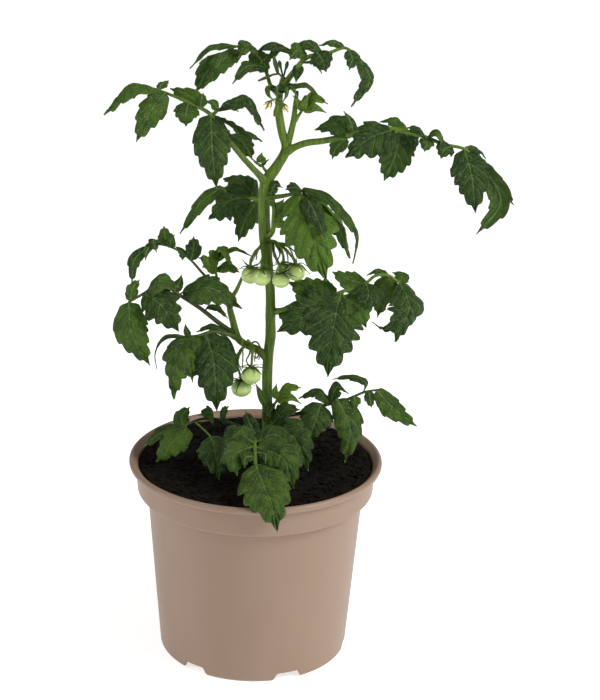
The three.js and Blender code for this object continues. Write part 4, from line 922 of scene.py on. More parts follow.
def add_hairs(piece, path, radius_at, per_square_mm, length, dice, start=0.0):
    """Fine stiff hairs that stand out all round a stalk"""
    mean_radius = radius_at(0.5)
    count = round(FULL_TURN * mean_radius * path.length * (1 - start) * per_square_mm)
    for _ in range(count):
        share = start + (1 - start) * dice.random()
        heading = path.heading(share)
        across = heading.orthogonal().normalized()
        out = Quaternion(heading, dice.uniform(0, FULL_TURN)) @ across
        foot = path.at(share) + out * radius_at(share) * HAIR_ROOT
        lean = Vector([dice.uniform(-HAIR_LEAN, HAIR_LEAN) for _ in range(3)])
        tip = foot + (out + lean).normalized() * length * dice.uniform(*HAIR_LENGTHS)
        add_spike(piece, foot, tip, HAIR_RADIUS)


def add_spike(piece, foot, tip, radius):
    """A thin closed spike with three sides"""
    heading = (tip - foot).normalized()
    across = heading.orthogonal().normalized()
    base = []
    for k in range(3):
        out = Quaternion(heading, FULL_TURN * k / 3) @ across
        base.append(piece.add_point(foot + out * radius))
    top = piece.add_point(tip)
    for k in range(3):
        piece.add_face((base[k], base[(k + 1) % 3], top))
    piece.add_face((base[2], base[1], base[0]))


class BladeOutline:
    """Half-widths and forward lean of a toothed blade at shares of its length, for each side"""

    LAST_NOTCH = FIRST_NOTCH + TOOTHED_SHARE

    def __init__(self, wide, dice):
        self.wide = wide
        teeth = next((count for width, count in TEETH_BY_WIDTH if wide >= width), 0)
        self.toothed = teeth > 0
        self.pitch = TOOTHED_SHARE / teeth if teeth else PLAIN_PITCH
        self.depth = NOTCH_DEPTH + (DEEP_NOTCH_MORE if wide >= DEEP_NOTCH_WIDTH else 0)
        self.uneven = [[dice.uniform(*UNEVEN_NOTCHES) for _ in range(teeth + 2)] for _ in range(2)]

    def swell(self, t):
        """The half-width without teeth"""
        rounded_share = math.sin(math.pi * min(max(t, 0), 1) ** WIDEST_POWER)
        return max(TIP_HALF_WIDTH, self.wide / 2 * rounded_share ** FULLNESS)

    def tooth(self, t):
        """0 in the notch between two teeth and 1 on the point of a tooth"""
        if not self.toothed or t > self.LAST_NOTCH or t < FIRST_NOTCH:
            return 0
        phase = (t - FIRST_NOTCH) / self.pitch % 1
        if phase < TOOTH_PLACE:
            return math.sin(math.pi / 2 * phase / TOOTH_PLACE)
        return math.sin(math.pi / 2 * (1 - phase) / (1 - TOOTH_PLACE)) ** TOOTH_FALL

    def notch_depth(self, t, left):
        """The depth of the nearest notch on one side, as a share of the half-width"""
        number = max(0, (t - FIRST_NOTCH) / self.pitch + 1 - TOOTH_PLACE)
        return self.depth * self.uneven[left][int(number)] * (NOTCH_DEPTH_AT_FOOT - NOTCH_FADE * t)

    def reach(self, t, left):
        """The half-width on one side, with its teeth and the neck before the blade"""
        if t < 0:
            return NECK_HALF_WIDTH
        between = 1 - self.tooth(t)
        fading = min(1, (1 - t) / (1 - self.LAST_NOTCH))
        full = self.swell(max(t, FIRST_NOTCH) + FIRST_NOTCH * between * fading)
        if self.toothed and t <= self.LAST_NOTCH:
            full *= 1 - self.notch_depth(t, left) * between
        if t < FIRST_NOTCH:
            full = NECK_HALF_WIDTH + (full - NECK_HALF_WIDTH) * (t / FIRST_NOTCH) ** 0.5
        return max(full, TIP_HALF_WIDTH)

    def lean(self, t):
        """How far the edge runs ahead of the midrib, so that the teeth point forward"""
        return TOOTH_LEAN * self.pitch * self.tooth(t)

    def vein_number(self, t, side_share):
        """A number that is whole on each side vein"""
        return (t - FIRST_NOTCH) / self.pitch - TOOTH_PLACE + (1 - side_share) * VEIN_LAG


def blade_surface(path, neck, wide, face, outline, look, droop, swing, beat):
    """The middle of a blade: a function from shares along and across it to a point on it"""
    quilt = look["quilt"] * wide
    middle = path.heading(neck + 0.5 * (1 - neck))
    sideways = Vector(face).cross(middle).normalized()

    def surface_point(t, s):
        side = abs(s)
        where = neck + (t + outline.lean(t) * side) * (1 - neck)
        heading = path.heading(where)
        across = (sideways - heading * sideways.dot(heading)).normalized()
        normal = heading.cross(across)
        reach = outline.reach(t, s < 0)
        lateral = s * reach
        number = outline.vein_number(t, side)
        grown = min(1, max(t, 0) * LIFT_GROWTH)
        between_veins = abs(math.sin(math.pi * number)) ** QUILT_POWER
        puff = quilt * between_veins * math.sin(math.pi * min(1, side * QUILT_REACH)) ** QUILT_POWER
        furrow = -MIDRIB_DEPTH * math.exp(-((lateral / MIDRIB_WIDTH) ** 2)) * min(1, wide / FULL_MIDRIB_WIDTH)
        phase = FULL_TURN * beat * t + swing[0 if s < 0 else 1]
        ripple = look["wave"] * reach * side ** 2 * math.sin(phase)
        flat = path.at(where) + across * lateral
        crease = 0
        if quilt:
            crease = CRINKLE * noise.noise(flat * CRINKLE_SCALE) * min(1, wide / FULL_CRINKLE_WIDTH)
        hang = droop * reach * (STRAIGHT_DROOP * side + (1 - STRAIGHT_DROOP) * side ** 2)
        lift = -hang + (puff + furrow + ripple + crease) * grown
        return flat + normal * lift, lateral, number, side

    return surface_point


def add_blade(piece, rib, wide, face, dice, look, neck=0.0, finishes=(0, 1)):
    """A thin closed blade with teeth, a sunk midrib, quilting between its veins and a waved edge"""
    droop = look.get("droop", dice.uniform(*DROOPS))
    outline = BladeOutline(wide, dice)
    path = Path(rib)
    rows = max(FEWEST_ROWS, round(path.length / look.get("row", ROW_STEP)))
    columns = max(FEWEST_COLUMNS, round(wide / 2 / look.get("column", COLUMN_STEP)))
    swing = [dice.uniform(0, ANY_SWING) for _ in range(4)]
    beat = dice.uniform(*WAVE_BEATS)
    shade = look.get("tone", dice.random())
    surface_point = blade_surface(path, neck, wide, face, outline, look, droop, swing, beat)
    first = -neck / (1 - neck)
    grid = []
    for i in range(rows + 1):
        t = first + (1 - first) * i / rows
        grid.append([surface_point(t, j / columns) for j in range(-columns, columns + 1)])
    upper, lower = add_blade_points(piece, grid, look["thick"], face, shade)
    add_blade_faces(piece, upper, lower, finishes)


def add_blade_points(piece, grid, thick, face, shade):
    """The points of a blade's two sides, in rows, from those of its middle"""
    last = len(grid) - 1
    upper = []
    lower = []
    for i, row in enumerate(grid):
        above = grid[max(i - 1, 0)]
        below = grid[min(i + 1, last)]
        upper.append([])
        lower.append([])
        for j, (point, lateral, number, side) in enumerate(row):
            along = below[j][0] - above[j][0]
            over = row[min(j + 1, len(row) - 1)][0] - row[max(j - 1, 0)][0]
            normal = along.cross(over)
            normal = normal.normalized() if normal.length > TINY else Vector(face)
            rib_share = math.exp(-((lateral / MIDRIB_WIDTH) ** 2)) * (1 - i / last)
            half = thick / 2 * (1 - EDGE_THINNING * side ** 4)
            veins = (0.5 + lateral / VEIN_SPAN_MM, 0.5 + number / VEIN_COUNT_SPAN)
            tint = (shade, side)
            upper[-1].append(piece.add_point(point + normal * half, veins, tint))
            lower[-1].append(piece.add_point(point - normal * (half + RIB_BELOW * rib_share), veins, tint))
    return upper, lower


def add_blade_faces(piece, upper, lower, finishes):
    """The faces of a blade's two sides and of its rim"""
    top, bottom = finishes
    for (high, high_next), (low, low_next) in zip(zip(upper, upper[1:]), zip(lower, lower[1:])):
        for j in range(len(high) - 1):
            piece.add_face((high[j], high_next[j], high_next[j + 1], high[j + 1]), top)
            piece.add_face((low[j], low[j + 1], low_next[j + 1], low_next[j]), bottom)
        piece.add_face((high[0], low[0], low_next[0], high_next[0]), bottom)
        piece.add_face((high_next[-1], low_next[-1], low[-1], high[-1]), bottom)
    for j in range(len(upper[0]) - 1):
        piece.add_face((upper[0][j + 1], lower[0][j + 1], lower[0][j], upper[0][j]), bottom)
        piece.add_face((upper[-1][j], lower[-1][j], lower[-1][j + 1], upper[-1][j + 1]), bottom)


def dice_for(name, index=0):
    """Random numbers that are the same in each run for a named piece"""
    return random.Random(f"{name} {index}")


def stalk_radius(thick, length, flare=STALK_FLARE):
    """A stalk's radius along it: tapered, and swelled where it leaves the stem"""
    def radius_at(share):
        spread = math.exp(-((share * length / STALK_FLARE_LENGTH) ** 2))
        return (thick[0] + (thick[-1] - thick[0]) * share) * (1 + (flare - 1) * spread)
    return radius_at


def add_leaf(piece, name, leaf, sizes):
    """A compound leaf: its stalk, and each leaflet with a neck from the nearest place on it"""
    stalk = Path(leaf["stalk"])
    radius_at = stalk_radius(leaf["thick"], stalk.length)
    add_tube(piece, stalk, radius_at, STALK_SIDES, STALK_STEP, STALK_FINISH, STALK_RIPPLE,
             STALK_BROWN.get(name, 0))
    for index, entry in enumerate(leaf["blades"]):
        *rib, wide, face = entry
        dice = dice_for(name, index)
        start = Vector(rib[0])
        near = stalk.nearest(start)
        reach = (near - start).length
        # A blade's tone is its own lightness, and for some listed blades also painted light and painted shade
        look = {"thick": sizes.thickness / MM, "quilt": sizes.quilt, "wave": sizes.wave,
                "tone": BLADE_TONES_AND_PAINTED_LIGHT.get(name, {}).get(index, dice.random() * DARKEST_TONES)}
        if reach < 2 * NECK_HALF_WIDTH:
            add_blade(piece, [near, *rib[1:]], wide, face, dice, look)
            continue
        neck = reach / (reach + Path(rib).length)
        add_blade(piece, [near, *rib], wide, face, dice, look, neck)
        neck_path = Path([near, start, start.lerp(Vector(rib[1]), 0.2)])
        add_tube(piece, neck_path, lambda share: NECK_STALK_RADIUS - NECK_STALK_TAPER * share,
                 THINNEST_SIDES, NECK_STALK_STEP, STALK_FINISH)


def stem_radius(radii, path, swells=()):
    """The stem's radius along it, with gentle swells at the heights where leaves leave it"""
    def radius_at(share):
        height = path.at(share).z
        swelled = (STEM_SWELL * math.exp(-((height - z) / STEM_SWELL_REACH) ** 2) for z in swells)
        return blend_radii(radii, share) * (1 + max(swelled, default=0))
    return radius_at


def add_stems(piece):
    """The main stem, its upper fork and the side branch"""
    leaf_heights = [leaf["stalk"][0][2] for leaf in LEAVES.values()]
    for stem in STEMS.values():
        path = Path(stem["points"])
        radius_at = stem_radius(stem["radii"], path, leaf_heights)
        add_tube(piece, path, radius_at, STEM_SIDES, STEM_STEP, 0, STEM_RIPPLE)


def add_bud(piece, bud, finish):
    """A closed bud wrapped in slim green sepals, on its stalk"""
    neck = Vector(bud["neck"])
    tip = Vector(bud["tip"])
    waist = neck.lerp(tip, 0.5)
    radius = bud["radius"]

    def radius_at(share):
        return radius * (0.35 + 0.65 * math.sin(math.pi * min(1, 0.15 + 0.85 * share)) ** 0.8)
    add_tube(piece, Path([neck, waist, tip]), radius_at, THIN_STALK_SIDES, BUD_STEP, finish)
    add_tube(piece, Path(bud["stalk"]), lambda share: 0.6 + 0.25 * share, THIN_STALK_SIDES, 1, finish)
    axis = (tip - neck).normalized()
    across = axis.orthogonal().normalized()
    for k in range(SEPALS):
        out = Quaternion(axis, FULL_TURN * k / SEPALS) @ across
        rib = [neck + out * 0.3, waist + out * (radius * 1.05), neck.lerp(tip, 0.96) + out * (radius * 0.6)]
        add_blade(piece, rib, radius * 0.8, tuple(out), dice_for("bud", k), BUD_LOOK,
                  finishes=(finish, finish))


def add_sepals(piece, fruit, turn, dice):
    """The star of narrow sepals on a fruit, their points curled up and away"""
    centre = Vector(fruit["centre"])
    radius = fruit["radius"]
    top = fruit["half"] * 0.9
    for k in range(FRUIT_SEPALS):
        angle = turn + FULL_TURN * k / FRUIT_SEPALS + dice.uniform(-0.25, 0.25)
        out = round_axis(angle)
        curl = dice.uniform(-0.2, 0.5)
        rib = [
            centre + on_axis(top + 0.5),
            centre + out * radius * 0.7 + on_axis(top + 1.0),
            centre + out * radius * 1.3 + on_axis(top * (0.85 + curl)),
            centre + out * radius * (1.9 - curl * 0.3) + on_axis(top * (0.6 + 2 * curl)),
        ]
        wide = dice.uniform(*FRUIT_SEPAL_WIDTHS)
        add_blade(piece, rib, wide, (0, 0, 1), dice, SEPAL_LOOK, finishes=(0, 0))


def fruit_stalk_radius(share):
    """A fruit's own stalk: a knuckle near its middle, and wider where it meets the fruit"""
    knuckle = KNUCKLE * math.exp(-((share - KNUCKLE_PLACE) / KNUCKLE_LENGTH) ** 2)
    crown = STALK_CROWN * max(0, share - STALK_CROWN_START) / (1 - STALK_CROWN_START)
    return THIN_STALK_RADIUS + knuckle + crown


def add_truss(piece, truss):
    """A fruit stalk with its side stalks, their knuckles, and the sepals of each fruit"""
    main = Path(truss["points"])
    main_radius = stalk_radius(truss["thick"], main.length)
    add_tube(piece, main, main_radius, STALK_SIDES, TRUSS_STEP, 0, STALK_RIPPLE)
    for index, (name, points) in enumerate(truss["fruits"].items()):
        fruit = FRUITS[name]
        top = Vector(fruit["centre"]) + on_axis(fruit["half"] * FRUIT_STALK_END)
        path = Path([*points, top])
        add_tube(piece, path, fruit_stalk_radius, THIN_STALK_SIDES, THIN_STALK_STEP, 0, THIN_STALK_RIPPLE)
        add_sepals(piece, fruit, index * 0.5, dice_for(name))
        add_hairs(piece, path, fruit_stalk_radius, TRUSS_HAIR_DENSITY, THIN_STALK_HAIR_LENGTH,
                  dice_for(name, 1))
    add_hairs(piece, main, main_radius, TRUSS_HAIR_DENSITY, TRUSS_HAIR_LENGTH, dice_for("truss"))


def add_spur(piece, path, dice):
    """A thin, curling, hairy stalk that has lost its flower"""
    def radius_at(share):
        return SPUR_RADIUS * (1 - SPUR_TAPER * share)
    add_tube(piece, path, radius_at, THINNEST_SIDES, THIN_STALK_STEP, 0, SPUR_RIPPLE)
    add_hairs(piece, path, radius_at, SPUR_HAIR_DENSITY, SPUR_HAIR_LENGTH, dice)


def add_fruit(piece, fruit, name):
    """A green tomato: a flattened ball with faint lobes and a dimple where its stalk enters"""
    dice = dice_for(name)
    radius = fruit["radius"]
    half = fruit["half"]
    centre = Vector(fruit["centre"])
    turn = dice.uniform(0, 3)
    rings = []
    for i in range(1, FRUIT_ROWS):
        up = i / FRUIT_ROWS
        angle = math.pi * (up - 0.5)
        shoulder = math.exp(-((1 - up - SHOULDER_PLACE) / SHOULDER_PLACE) ** 2)
        dimple = 1 - DIMPLE_DEPTH * math.exp(-(math.cos(angle) / DIMPLE_WIDTH) ** 2) * (angle > 0)
        ring = []
        for k in range(FRUIT_SIDES):
            around = FULL_TURN * k / FRUIT_SIDES
            lobe = 1 - LOBE_DEPTH * shoulder * (1 + math.cos(LOBES * around + turn))
            place = round_axis(around, radius * math.cos(angle) * lobe, half * math.sin(angle) * dimple)
            ring.append(piece.add_point(centre + place, (k / FRUIT_SIDES, up), (dice.random(), up)))
        rings.append(ring)
    low_end = piece.add_point(centre - on_axis(half), (0.5, 0), (0.5, 0))
    high_end = piece.add_point(centre + on_axis(half * (1 - DIMPLE_DEPTH)), (0.5, 1), (0.5, 1))
    close_rings(piece, rings, low_end, high_end)


def add_flower(piece, flower):
    """Half-open yellow petals round a cone of anthers, held by narrow green sepals"""
    neck = Vector(flower["neck"])
    tip = Vector(flower["tip"])
    spread = flower["spread"]
    length = (tip - neck).length
    axis = (tip - neck).normalized()
    across = axis.orthogonal().normalized()

    def at(out, radius, height):
        return neck + out * radius + axis * height

    cone = Path([at(across, 0, 0.4), at(across, 0, length * 0.4), at(across, 0, length * 0.8)])
    add_tube(piece, cone, lambda share: 1.15 * (1 - 0.7 * share) ** 0.7, STALK_SIDES, CONE_STEP, 1,
             CONE_RIPPLE)
    for k in range(FLOWER_PETALS):
        dice = dice_for("petal", k)
        out = Quaternion(axis, FULL_TURN * k / FLOWER_PETALS) @ across
        end = at(out, 1.3 + 1.9 * spread, dice.uniform(5, 6))
        rib = [at(out, 0.4, 1.2), at(out, 1 + 0.8 * spread, 3.2), end]
        add_blade(piece, rib, PETAL_WIDTH, tuple(-out), dice, PETAL_LOOK, finishes=(0, 0))
        out = Quaternion(axis, FULL_TURN * (k + 0.5) / FLOWER_PETALS) @ across
        rib = [at(out, 0.3, 0.2), at(out, 1.2 + 0.7 * spread, 1.8), at(out, 1.6 + 1.2 * spread, 3.6)]
        add_blade(piece, rib, FLOWER_SEPAL_WIDTH, tuple(-out), dice, FLOWER_SEPAL_LOOK, finishes=(2, 2))


def rounded(profile, radius, steps=ROUND_STEPS):
    """A profile with its inner corners rounded as far as their sides allow"""
    out = [Vector(profile[0])]
    for before, corner, after in zip(profile, profile[1:], profile[2:]):
        before, corner, after = Vector(before), Vector(corner), Vector(after)
        room = min(radius, ROUNDING_ROOM * (before - corner).length, ROUNDING_ROOM * (after - corner).length)
        start = corner + (before - corner).normalized() * room
        end = corner + (after - corner).normalized() * room
        for k in range(steps + 1):
            t = k / steps
            out.append(start.lerp(corner, t).lerp(corner.lerp(end, t), t))
    out.append(Vector(profile[-1]))
    return out


def add_turned(piece, profile, sides):
    """A turned solid from a profile that starts and ends on the axis"""
    rings = []
    for radius, height in profile[1:-1]:
        ring = [round_axis(FULL_TURN * k / sides, radius, height) for k in range(sides)]
        rings.append([piece.add_point(place) for place in ring])
    low_end = piece.add_point(on_axis(profile[0][1]))
    high_end = piece.add_point(on_axis(profile[-1][1]))
    close_rings(piece, rings, low_end, high_end)


def pot_profile(sizes):
    """The pot's section from the middle of its underside round the lip to the middle of its floor"""
    rim = sizes.rim_diameter / MM / 2
    top = sizes.height / MM
    wall = sizes.wall / MM
    foot_inside = BODY_FOOT_RADIUS - FOOT_RING_WIDTH
    floor_top = CHANNEL_HEIGHT + FLOOR
    slope = (BODY_TOP_RADIUS - BODY_FOOT_RADIUS) / COLLAR_FOOT_HEIGHT
    return [
        (0, 0),
        (CENTRE_PAD_RADIUS, 0),
        (CENTRE_PAD_RADIUS + 3, CHANNEL_HEIGHT),
        (foot_inside, CHANNEL_HEIGHT),
        (foot_inside, 0),
        (BODY_FOOT_RADIUS - 1.4, 0),
        (BODY_FOOT_RADIUS + slope * 2, 2),
        (BODY_TOP_RADIUS, COLLAR_FOOT_HEIGHT - 0.9),
        (COLLAR_FOOT_RADIUS - 1.4, COLLAR_FOOT_HEIGHT - 0.5),
        (COLLAR_FOOT_RADIUS, COLLAR_FOOT_HEIGHT + 1.2),
        (COLLAR_TOP_RADIUS, top - LIP_DEPTH),
        (rim - 0.7, top - LIP_DEPTH - 0.1),
        (rim, top - LIP_DEPTH + 1.3),
        (rim, top - 1.5),
        (rim - 2, top),
        (rim - LIP_WIDTH, top - 0.5),
        (rim - LIP_WIDTH - 1, top - 1.6),
        (COLLAR_TOP_RADIUS - THIN_WALL, top - LIP_SLOPE_DEPTH),
        (COLLAR_FOOT_RADIUS - wall, COLLAR_FOOT_HEIGHT + wall),
        (BODY_TOP_RADIUS - wall, COLLAR_FOOT_HEIGHT + wall - 1),
        (BODY_FOOT_RADIUS - wall + slope * floor_top, floor_top),
        (CENTRE_PAD_RADIUS + 2, floor_top),
        (CENTRE_PAD_RADIUS - 1.5, FLOOR),
        (0, FLOOR),
    ]


def notch_cutter(angle):
    """The tapered block that one notch takes out of the foot ring"""
    piece = Piece()
    half = NOTCH_WIDTH / 2
    corners = [
        (0, -1),
        (half + 1, -1),
        (half - 2.5, NOTCH_HEIGHT),
        (-half + 2.5, NOTCH_HEIGHT),
        (-half - 1, -1),
        (0, -1),
    ]
    outline = rounded(corners, NOTCH_ROUNDING, NOTCH_ROUND_STEPS)[:-1]
    turn = math.radians(angle)
    rings = []
    for depth in (-BODY_FOOT_RADIUS - FOOT_RING_WIDTH, -BODY_FOOT_RADIUS + 2 * FOOT_RING_WIDTH):
        ring = []
        for across, height in outline:
            x = across * math.cos(turn) - depth * math.sin(turn)
            y = across * math.sin(turn) + depth * math.cos(turn)
            ring.append(piece.add_point(Vector((x, y, height))))
        rings.append(ring)
    near, far = rings
    count = len(near)
    piece.add_face(tuple(near))
    piece.add_face(tuple(reversed(far)))
    for k in range(count):
        after = (k + 1) % count
        piece.add_face((near[after], near[k], far[k], far[after]))
    return piece


def drain_cutter(angle):
    """The round bar that one drain hole takes out of the floor"""
    turn = math.radians(angle)
    centre = Vector((DRAIN_HOLE_CIRCLE * math.sin(turn), -DRAIN_HOLE_CIRCLE * math.cos(turn), 0))
    piece = Piece()
    path = Path([centre + on_axis(height) for height in (-3, 8, 20)])
    add_tube(piece, path, lambda share: DRAIN_HOLE_RADIUS, DRAIN_HOLE_SIDES, 12)
    return piece


def cut_away(made, cutters):
    """Cuts the cutters' shapes out of a piece for good"""
    for cutter in cutters:
        cut = made.modifiers.new("cut", "BOOLEAN")
        cut.operation = "DIFFERENCE"
        cut.solver = "EXACT"
        cut.object = cutter
    bpy.context.view_layer.update()
    graph = bpy.context.evaluated_depsgraph_get()
    mesh = bpy.data.meshes.new_from_object(made.evaluated_get(graph))
    made.modifiers.clear()
    made.data = mesh
    for cutter in cutters:
        bpy.data.objects.remove(cutter)


def soil_height(x, y, sizes):
    """The height of the soil's top at a place: slow swells and crumbs"""
    swell = math.sin(x / 9 + 1) * math.cos(y / 11) + 0.5 * math.sin(x / 5 - y / 6)
    rough = noise.fractal(Vector((x, y, 3)) * SOIL_GRAIN_SCALE, 0.8, 2.1, 5)
    return sizes.height / MM + SOIL_SWELL * swell + SOIL_GRAIN * rough


def add_soil(piece, sizes):
    """A closed body of soil that fills the pot, with a fine uneven top"""
    floor_top = CHANNEL_HEIGHT + FLOOR
    slope = (BODY_TOP_RADIUS - BODY_FOOT_RADIUS) / COLLAR_FOOT_HEIGHT
    edge = COLLAR_TOP_RADIUS - THIN_WALL - SOIL_GAP - 0.2
    angles = [FULL_TURN * k / SOIL_SIDES for k in range(SOIL_SIDES)]
    sides = [
        (CENTRE_PAD_RADIUS - 2, FLOOR + SOIL_GAP),
        (CENTRE_PAD_RADIUS + 1.5, floor_top + SOIL_GAP),
        (BODY_FOOT_RADIUS - WALL - SOIL_GAP + slope * floor_top, floor_top + SOIL_GAP),
        (BODY_TOP_RADIUS - WALL - SOIL_GAP - 0.1, COLLAR_FOOT_HEIGHT + WALL + SOIL_GAP),
        (COLLAR_FOOT_RADIUS - WALL - SOIL_GAP, COLLAR_FOOT_HEIGHT + WALL + SOIL_GAP + 0.2),
    ]
    rings = []
    for radius, height in sides:
        rings.append([piece.add_point(round_axis(angle, radius, height)) for angle in angles])
    for i in range(SOIL_RINGS):
        radius = edge * (1 - i / SOIL_RINGS) ** RING_CROWDING
        drop = SOIL_EDGE_DROP * math.exp(-(edge - radius) / SOIL_EDGE_WIDTH)
        ring = []
        for angle in angles:
            x = radius * math.cos(angle)
            y = radius * math.sin(angle)
            ring.append(piece.add_point(Vector((x, y, soil_height(x, y, sizes) - drop))))
        rings.append(ring)
    low_end = piece.add_point(on_axis(FLOOR + SOIL_GAP))
    high_end = piece.add_point(on_axis(soil_height(0, 0, sizes)))
    close_rings(piece, rings, low_end, high_end)


def add_crumbs(piece, sizes):
    """Small lumps of soil that lie on its top"""
    dice = dice_for("crumbs")
    edge = COLLAR_FOOT_RADIUS - BARE_EDGE
    for _ in range(sizes.crumb_count):
        radius = edge * math.sqrt(dice.random())
        angle = dice.uniform(0, FULL_TURN)
        x = radius * math.cos(angle)
        y = radius * math.sin(angle)
        size = sizes.crumb_size / MM * dice.uniform(*CRUMB_SIZES) ** SMALL_CRUMB_POWER
        place = Vector((x, y, soil_height(x, y, sizes) + size * CRUMB_LIFT))
        add_lump(piece, place, size, dice, dice.random())


def add_lump(piece, centre, size, dice, shade):
    """A rough closed lump with twenty faces"""
    turn = Euler([dice.uniform(0, 6) for _ in range(3)])
    stretch = Vector([dice.uniform(*limits) for limits in LUMP_STRETCHES])
    marks = []
    for corner in LUMP_CORNERS:
        out = Vector(corner)
        out.rotate(turn)
        out = out.normalized() * size * dice.uniform(*LUMP_UNEVENNESS) * 0.5
        marks.append(piece.add_point(centre + out * stretch, (0.5, 0.5), (shade, 0)))
    for a, b, c in LUMP_FACES:
        piece.add_face((marks[a], marks[b], marks[c]))


def new_material(name):
    """A material, its tree and its Principled shader"""
    material = bpy.data.materials.new(name)
    material.use_nodes = True
    tree = material.node_tree
    return material, tree, tree.nodes["Principled BSDF"]


def new_group(name, inputs, outputs):
    """A shader node group with named sockets"""
    group = bpy.data.node_groups.new(name, "ShaderNodeTree")
    for label, default in inputs:
        socket = group.interface.new_socket(label, in_out="INPUT", socket_type="NodeSocketFloat")
        socket.default_value = default
    for label in outputs:
        group.interface.new_socket(label, in_out="OUTPUT", socket_type="NodeSocketFloat")
    return group, group.nodes.new("NodeGroupInput").outputs, group.nodes.new("NodeGroupOutput").inputs


def place_group(tree, group, **values):
    """A node group in a material, with what each of its inputs is fed"""
    made = tree.nodes.new("ShaderNodeGroup")
    made.node_tree = group
    for label, value in values.items():
        feed(tree, made.inputs[label], value)
    return made.outputs


def feed(tree, socket, value):
    """Links a socket, or sets it, according to what the value is"""
    if isinstance(value, bpy.types.NodeSocket):
        tree.links.new(value, socket)
    else:
        socket.default_value = value


def math_node(tree, operation, *values):
    made = tree.nodes.new("ShaderNodeMath")
    made.operation = operation
    for socket, value in zip(made.inputs, values):
        feed(tree, socket, value)
    return made.outputs[0]


def times(tree, first, second):
    """The product of two sockets or numbers"""
    return math_node(tree, "MULTIPLY", first, second)


def ramp_node(tree, value, fade, out_low=0.0, out_high=1.0):
    """A smooth step from one value to another between the two ends of a fade"""
    made = tree.nodes.new("ShaderNodeMapRange")
    made.interpolation_type = "SMOOTHSTEP"
    for socket, entry in zip(made.inputs, (value, *fade, out_low, out_high)):
        feed(tree, socket, entry)
    return made.outputs[0]


def mix_colours(tree, factor, first, second):
    """One colour over another by a factor. Each is a socket or a plain colour."""
    made = tree.nodes.new("ShaderNodeMix")
    made.data_type = "RGBA"
    feed(tree, made.inputs["Factor"], factor)
    for socket, colour in ((made.inputs[6], first), (made.inputs[7], second)):
        feed(tree, socket, colour if isinstance(colour, bpy.types.NodeSocket) else (*colour, 1))
    return made.outputs[2]


def noise_node(tree, scale, detail, stretch=(1, 1, 1)):
    """Noise in the object's own place, in patches of about a metre over scale"""
    place = tree.nodes.new("ShaderNodeTexCoord")
    mapping = tree.nodes.new("ShaderNodeMapping")
    mapping.inputs["Scale"].default_value = stretch
    tree.links.new(place.outputs["Object"], mapping.inputs["Vector"])
    made = tree.nodes.new("ShaderNodeTexNoise")
    made.inputs["Scale"].default_value = scale
    made.inputs["Detail"].default_value = detail
    tree.links.new(mapping.outputs["Vector"], made.inputs["Vector"])
    return made.outputs[0]


def bump_node(tree, height, strength, distance, shader):
    """Roughens a shader's skin by a height, over a distance in metres"""
    made = tree.nodes.new("ShaderNodeBump")
    made.inputs["Strength"].default_value = strength
    made.inputs["Distance"].default_value = distance
    tree.links.new(height, made.inputs["Height"])
    tree.links.new(made.outputs["Normal"], shader.inputs["Normal"])


def uv_parts(tree, name):
    """The two parts of a UV map"""
    layer = tree.nodes.new("ShaderNodeUVMap")
    layer.uv_map = name
    split = tree.nodes.new("ShaderNodeSeparateXYZ")
    tree.links.new(layer.outputs["UV"], split.inputs[0])
    return split.outputs[0], split.outputs[1]


def vein_lines(tree, number, fade, strength):
    """Lines wherever a number is whole"""
    off = math_node(tree, "PINGPONG", number, 0.5)
    return ramp_node(tree, off, fade, strength, 0.0)


def leaf_vein_group():
    """Midrib, side veins and fine net of a blade, read from its vein map"""
    group, source, sink = new_group(
        "Leaf veins",
        [("Across", 0.5), ("Number", 0.5), ("Side", 0.0)],
        ["Veins", "Net", "Edge"],
    )
    lateral = math_node(group, "ABSOLUTE", math_node(group, "SUBTRACT", source["Across"], 0.5))
    midrib = ramp_node(group, times(group, lateral, VEIN_SPAN_MM), MIDRIB_FADE, 1.0, 0.0)
    number = times(group, math_node(group, "SUBTRACT", source["Number"], 0.5), VEIN_COUNT_SPAN)
    side_vein = vein_lines(group, number, SIDE_VEIN_FADE, SIDE_VEIN_STRENGTH)
    small = math_node(group, "ADD", times(group, number, SMALL_VEINS), SMALL_VEIN_SHIFT)
    small_vein = vein_lines(group, small, SMALL_VEIN_FADE, SMALL_VEIN_STRENGTH)
    fade = ramp_node(group, source["Side"], VEIN_END_FADE, 1.0, VEIN_END_STRENGTH)
    side_vein = times(group, math_node(group, "MAXIMUM", side_vein, small_vein), fade)
    place = group.nodes.new("ShaderNodeTexCoord")
    cells = group.nodes.new("ShaderNodeTexVoronoi")
    cells.feature = "DISTANCE_TO_EDGE"
    cells.inputs["Scale"].default_value = NET_SCALE
    group.links.new(place.outputs["Object"], cells.inputs["Vector"])
    feed(group, sink["Veins"], math_node(group, "MAXIMUM", midrib, side_vein))
    feed(group, sink["Net"], ramp_node(group, cells.outputs["Distance"], NET_FADE, 1.0, 0.0))
    feed(group, sink["Edge"], ramp_node(group, source["Side"], EDGE_FADE))
    return group


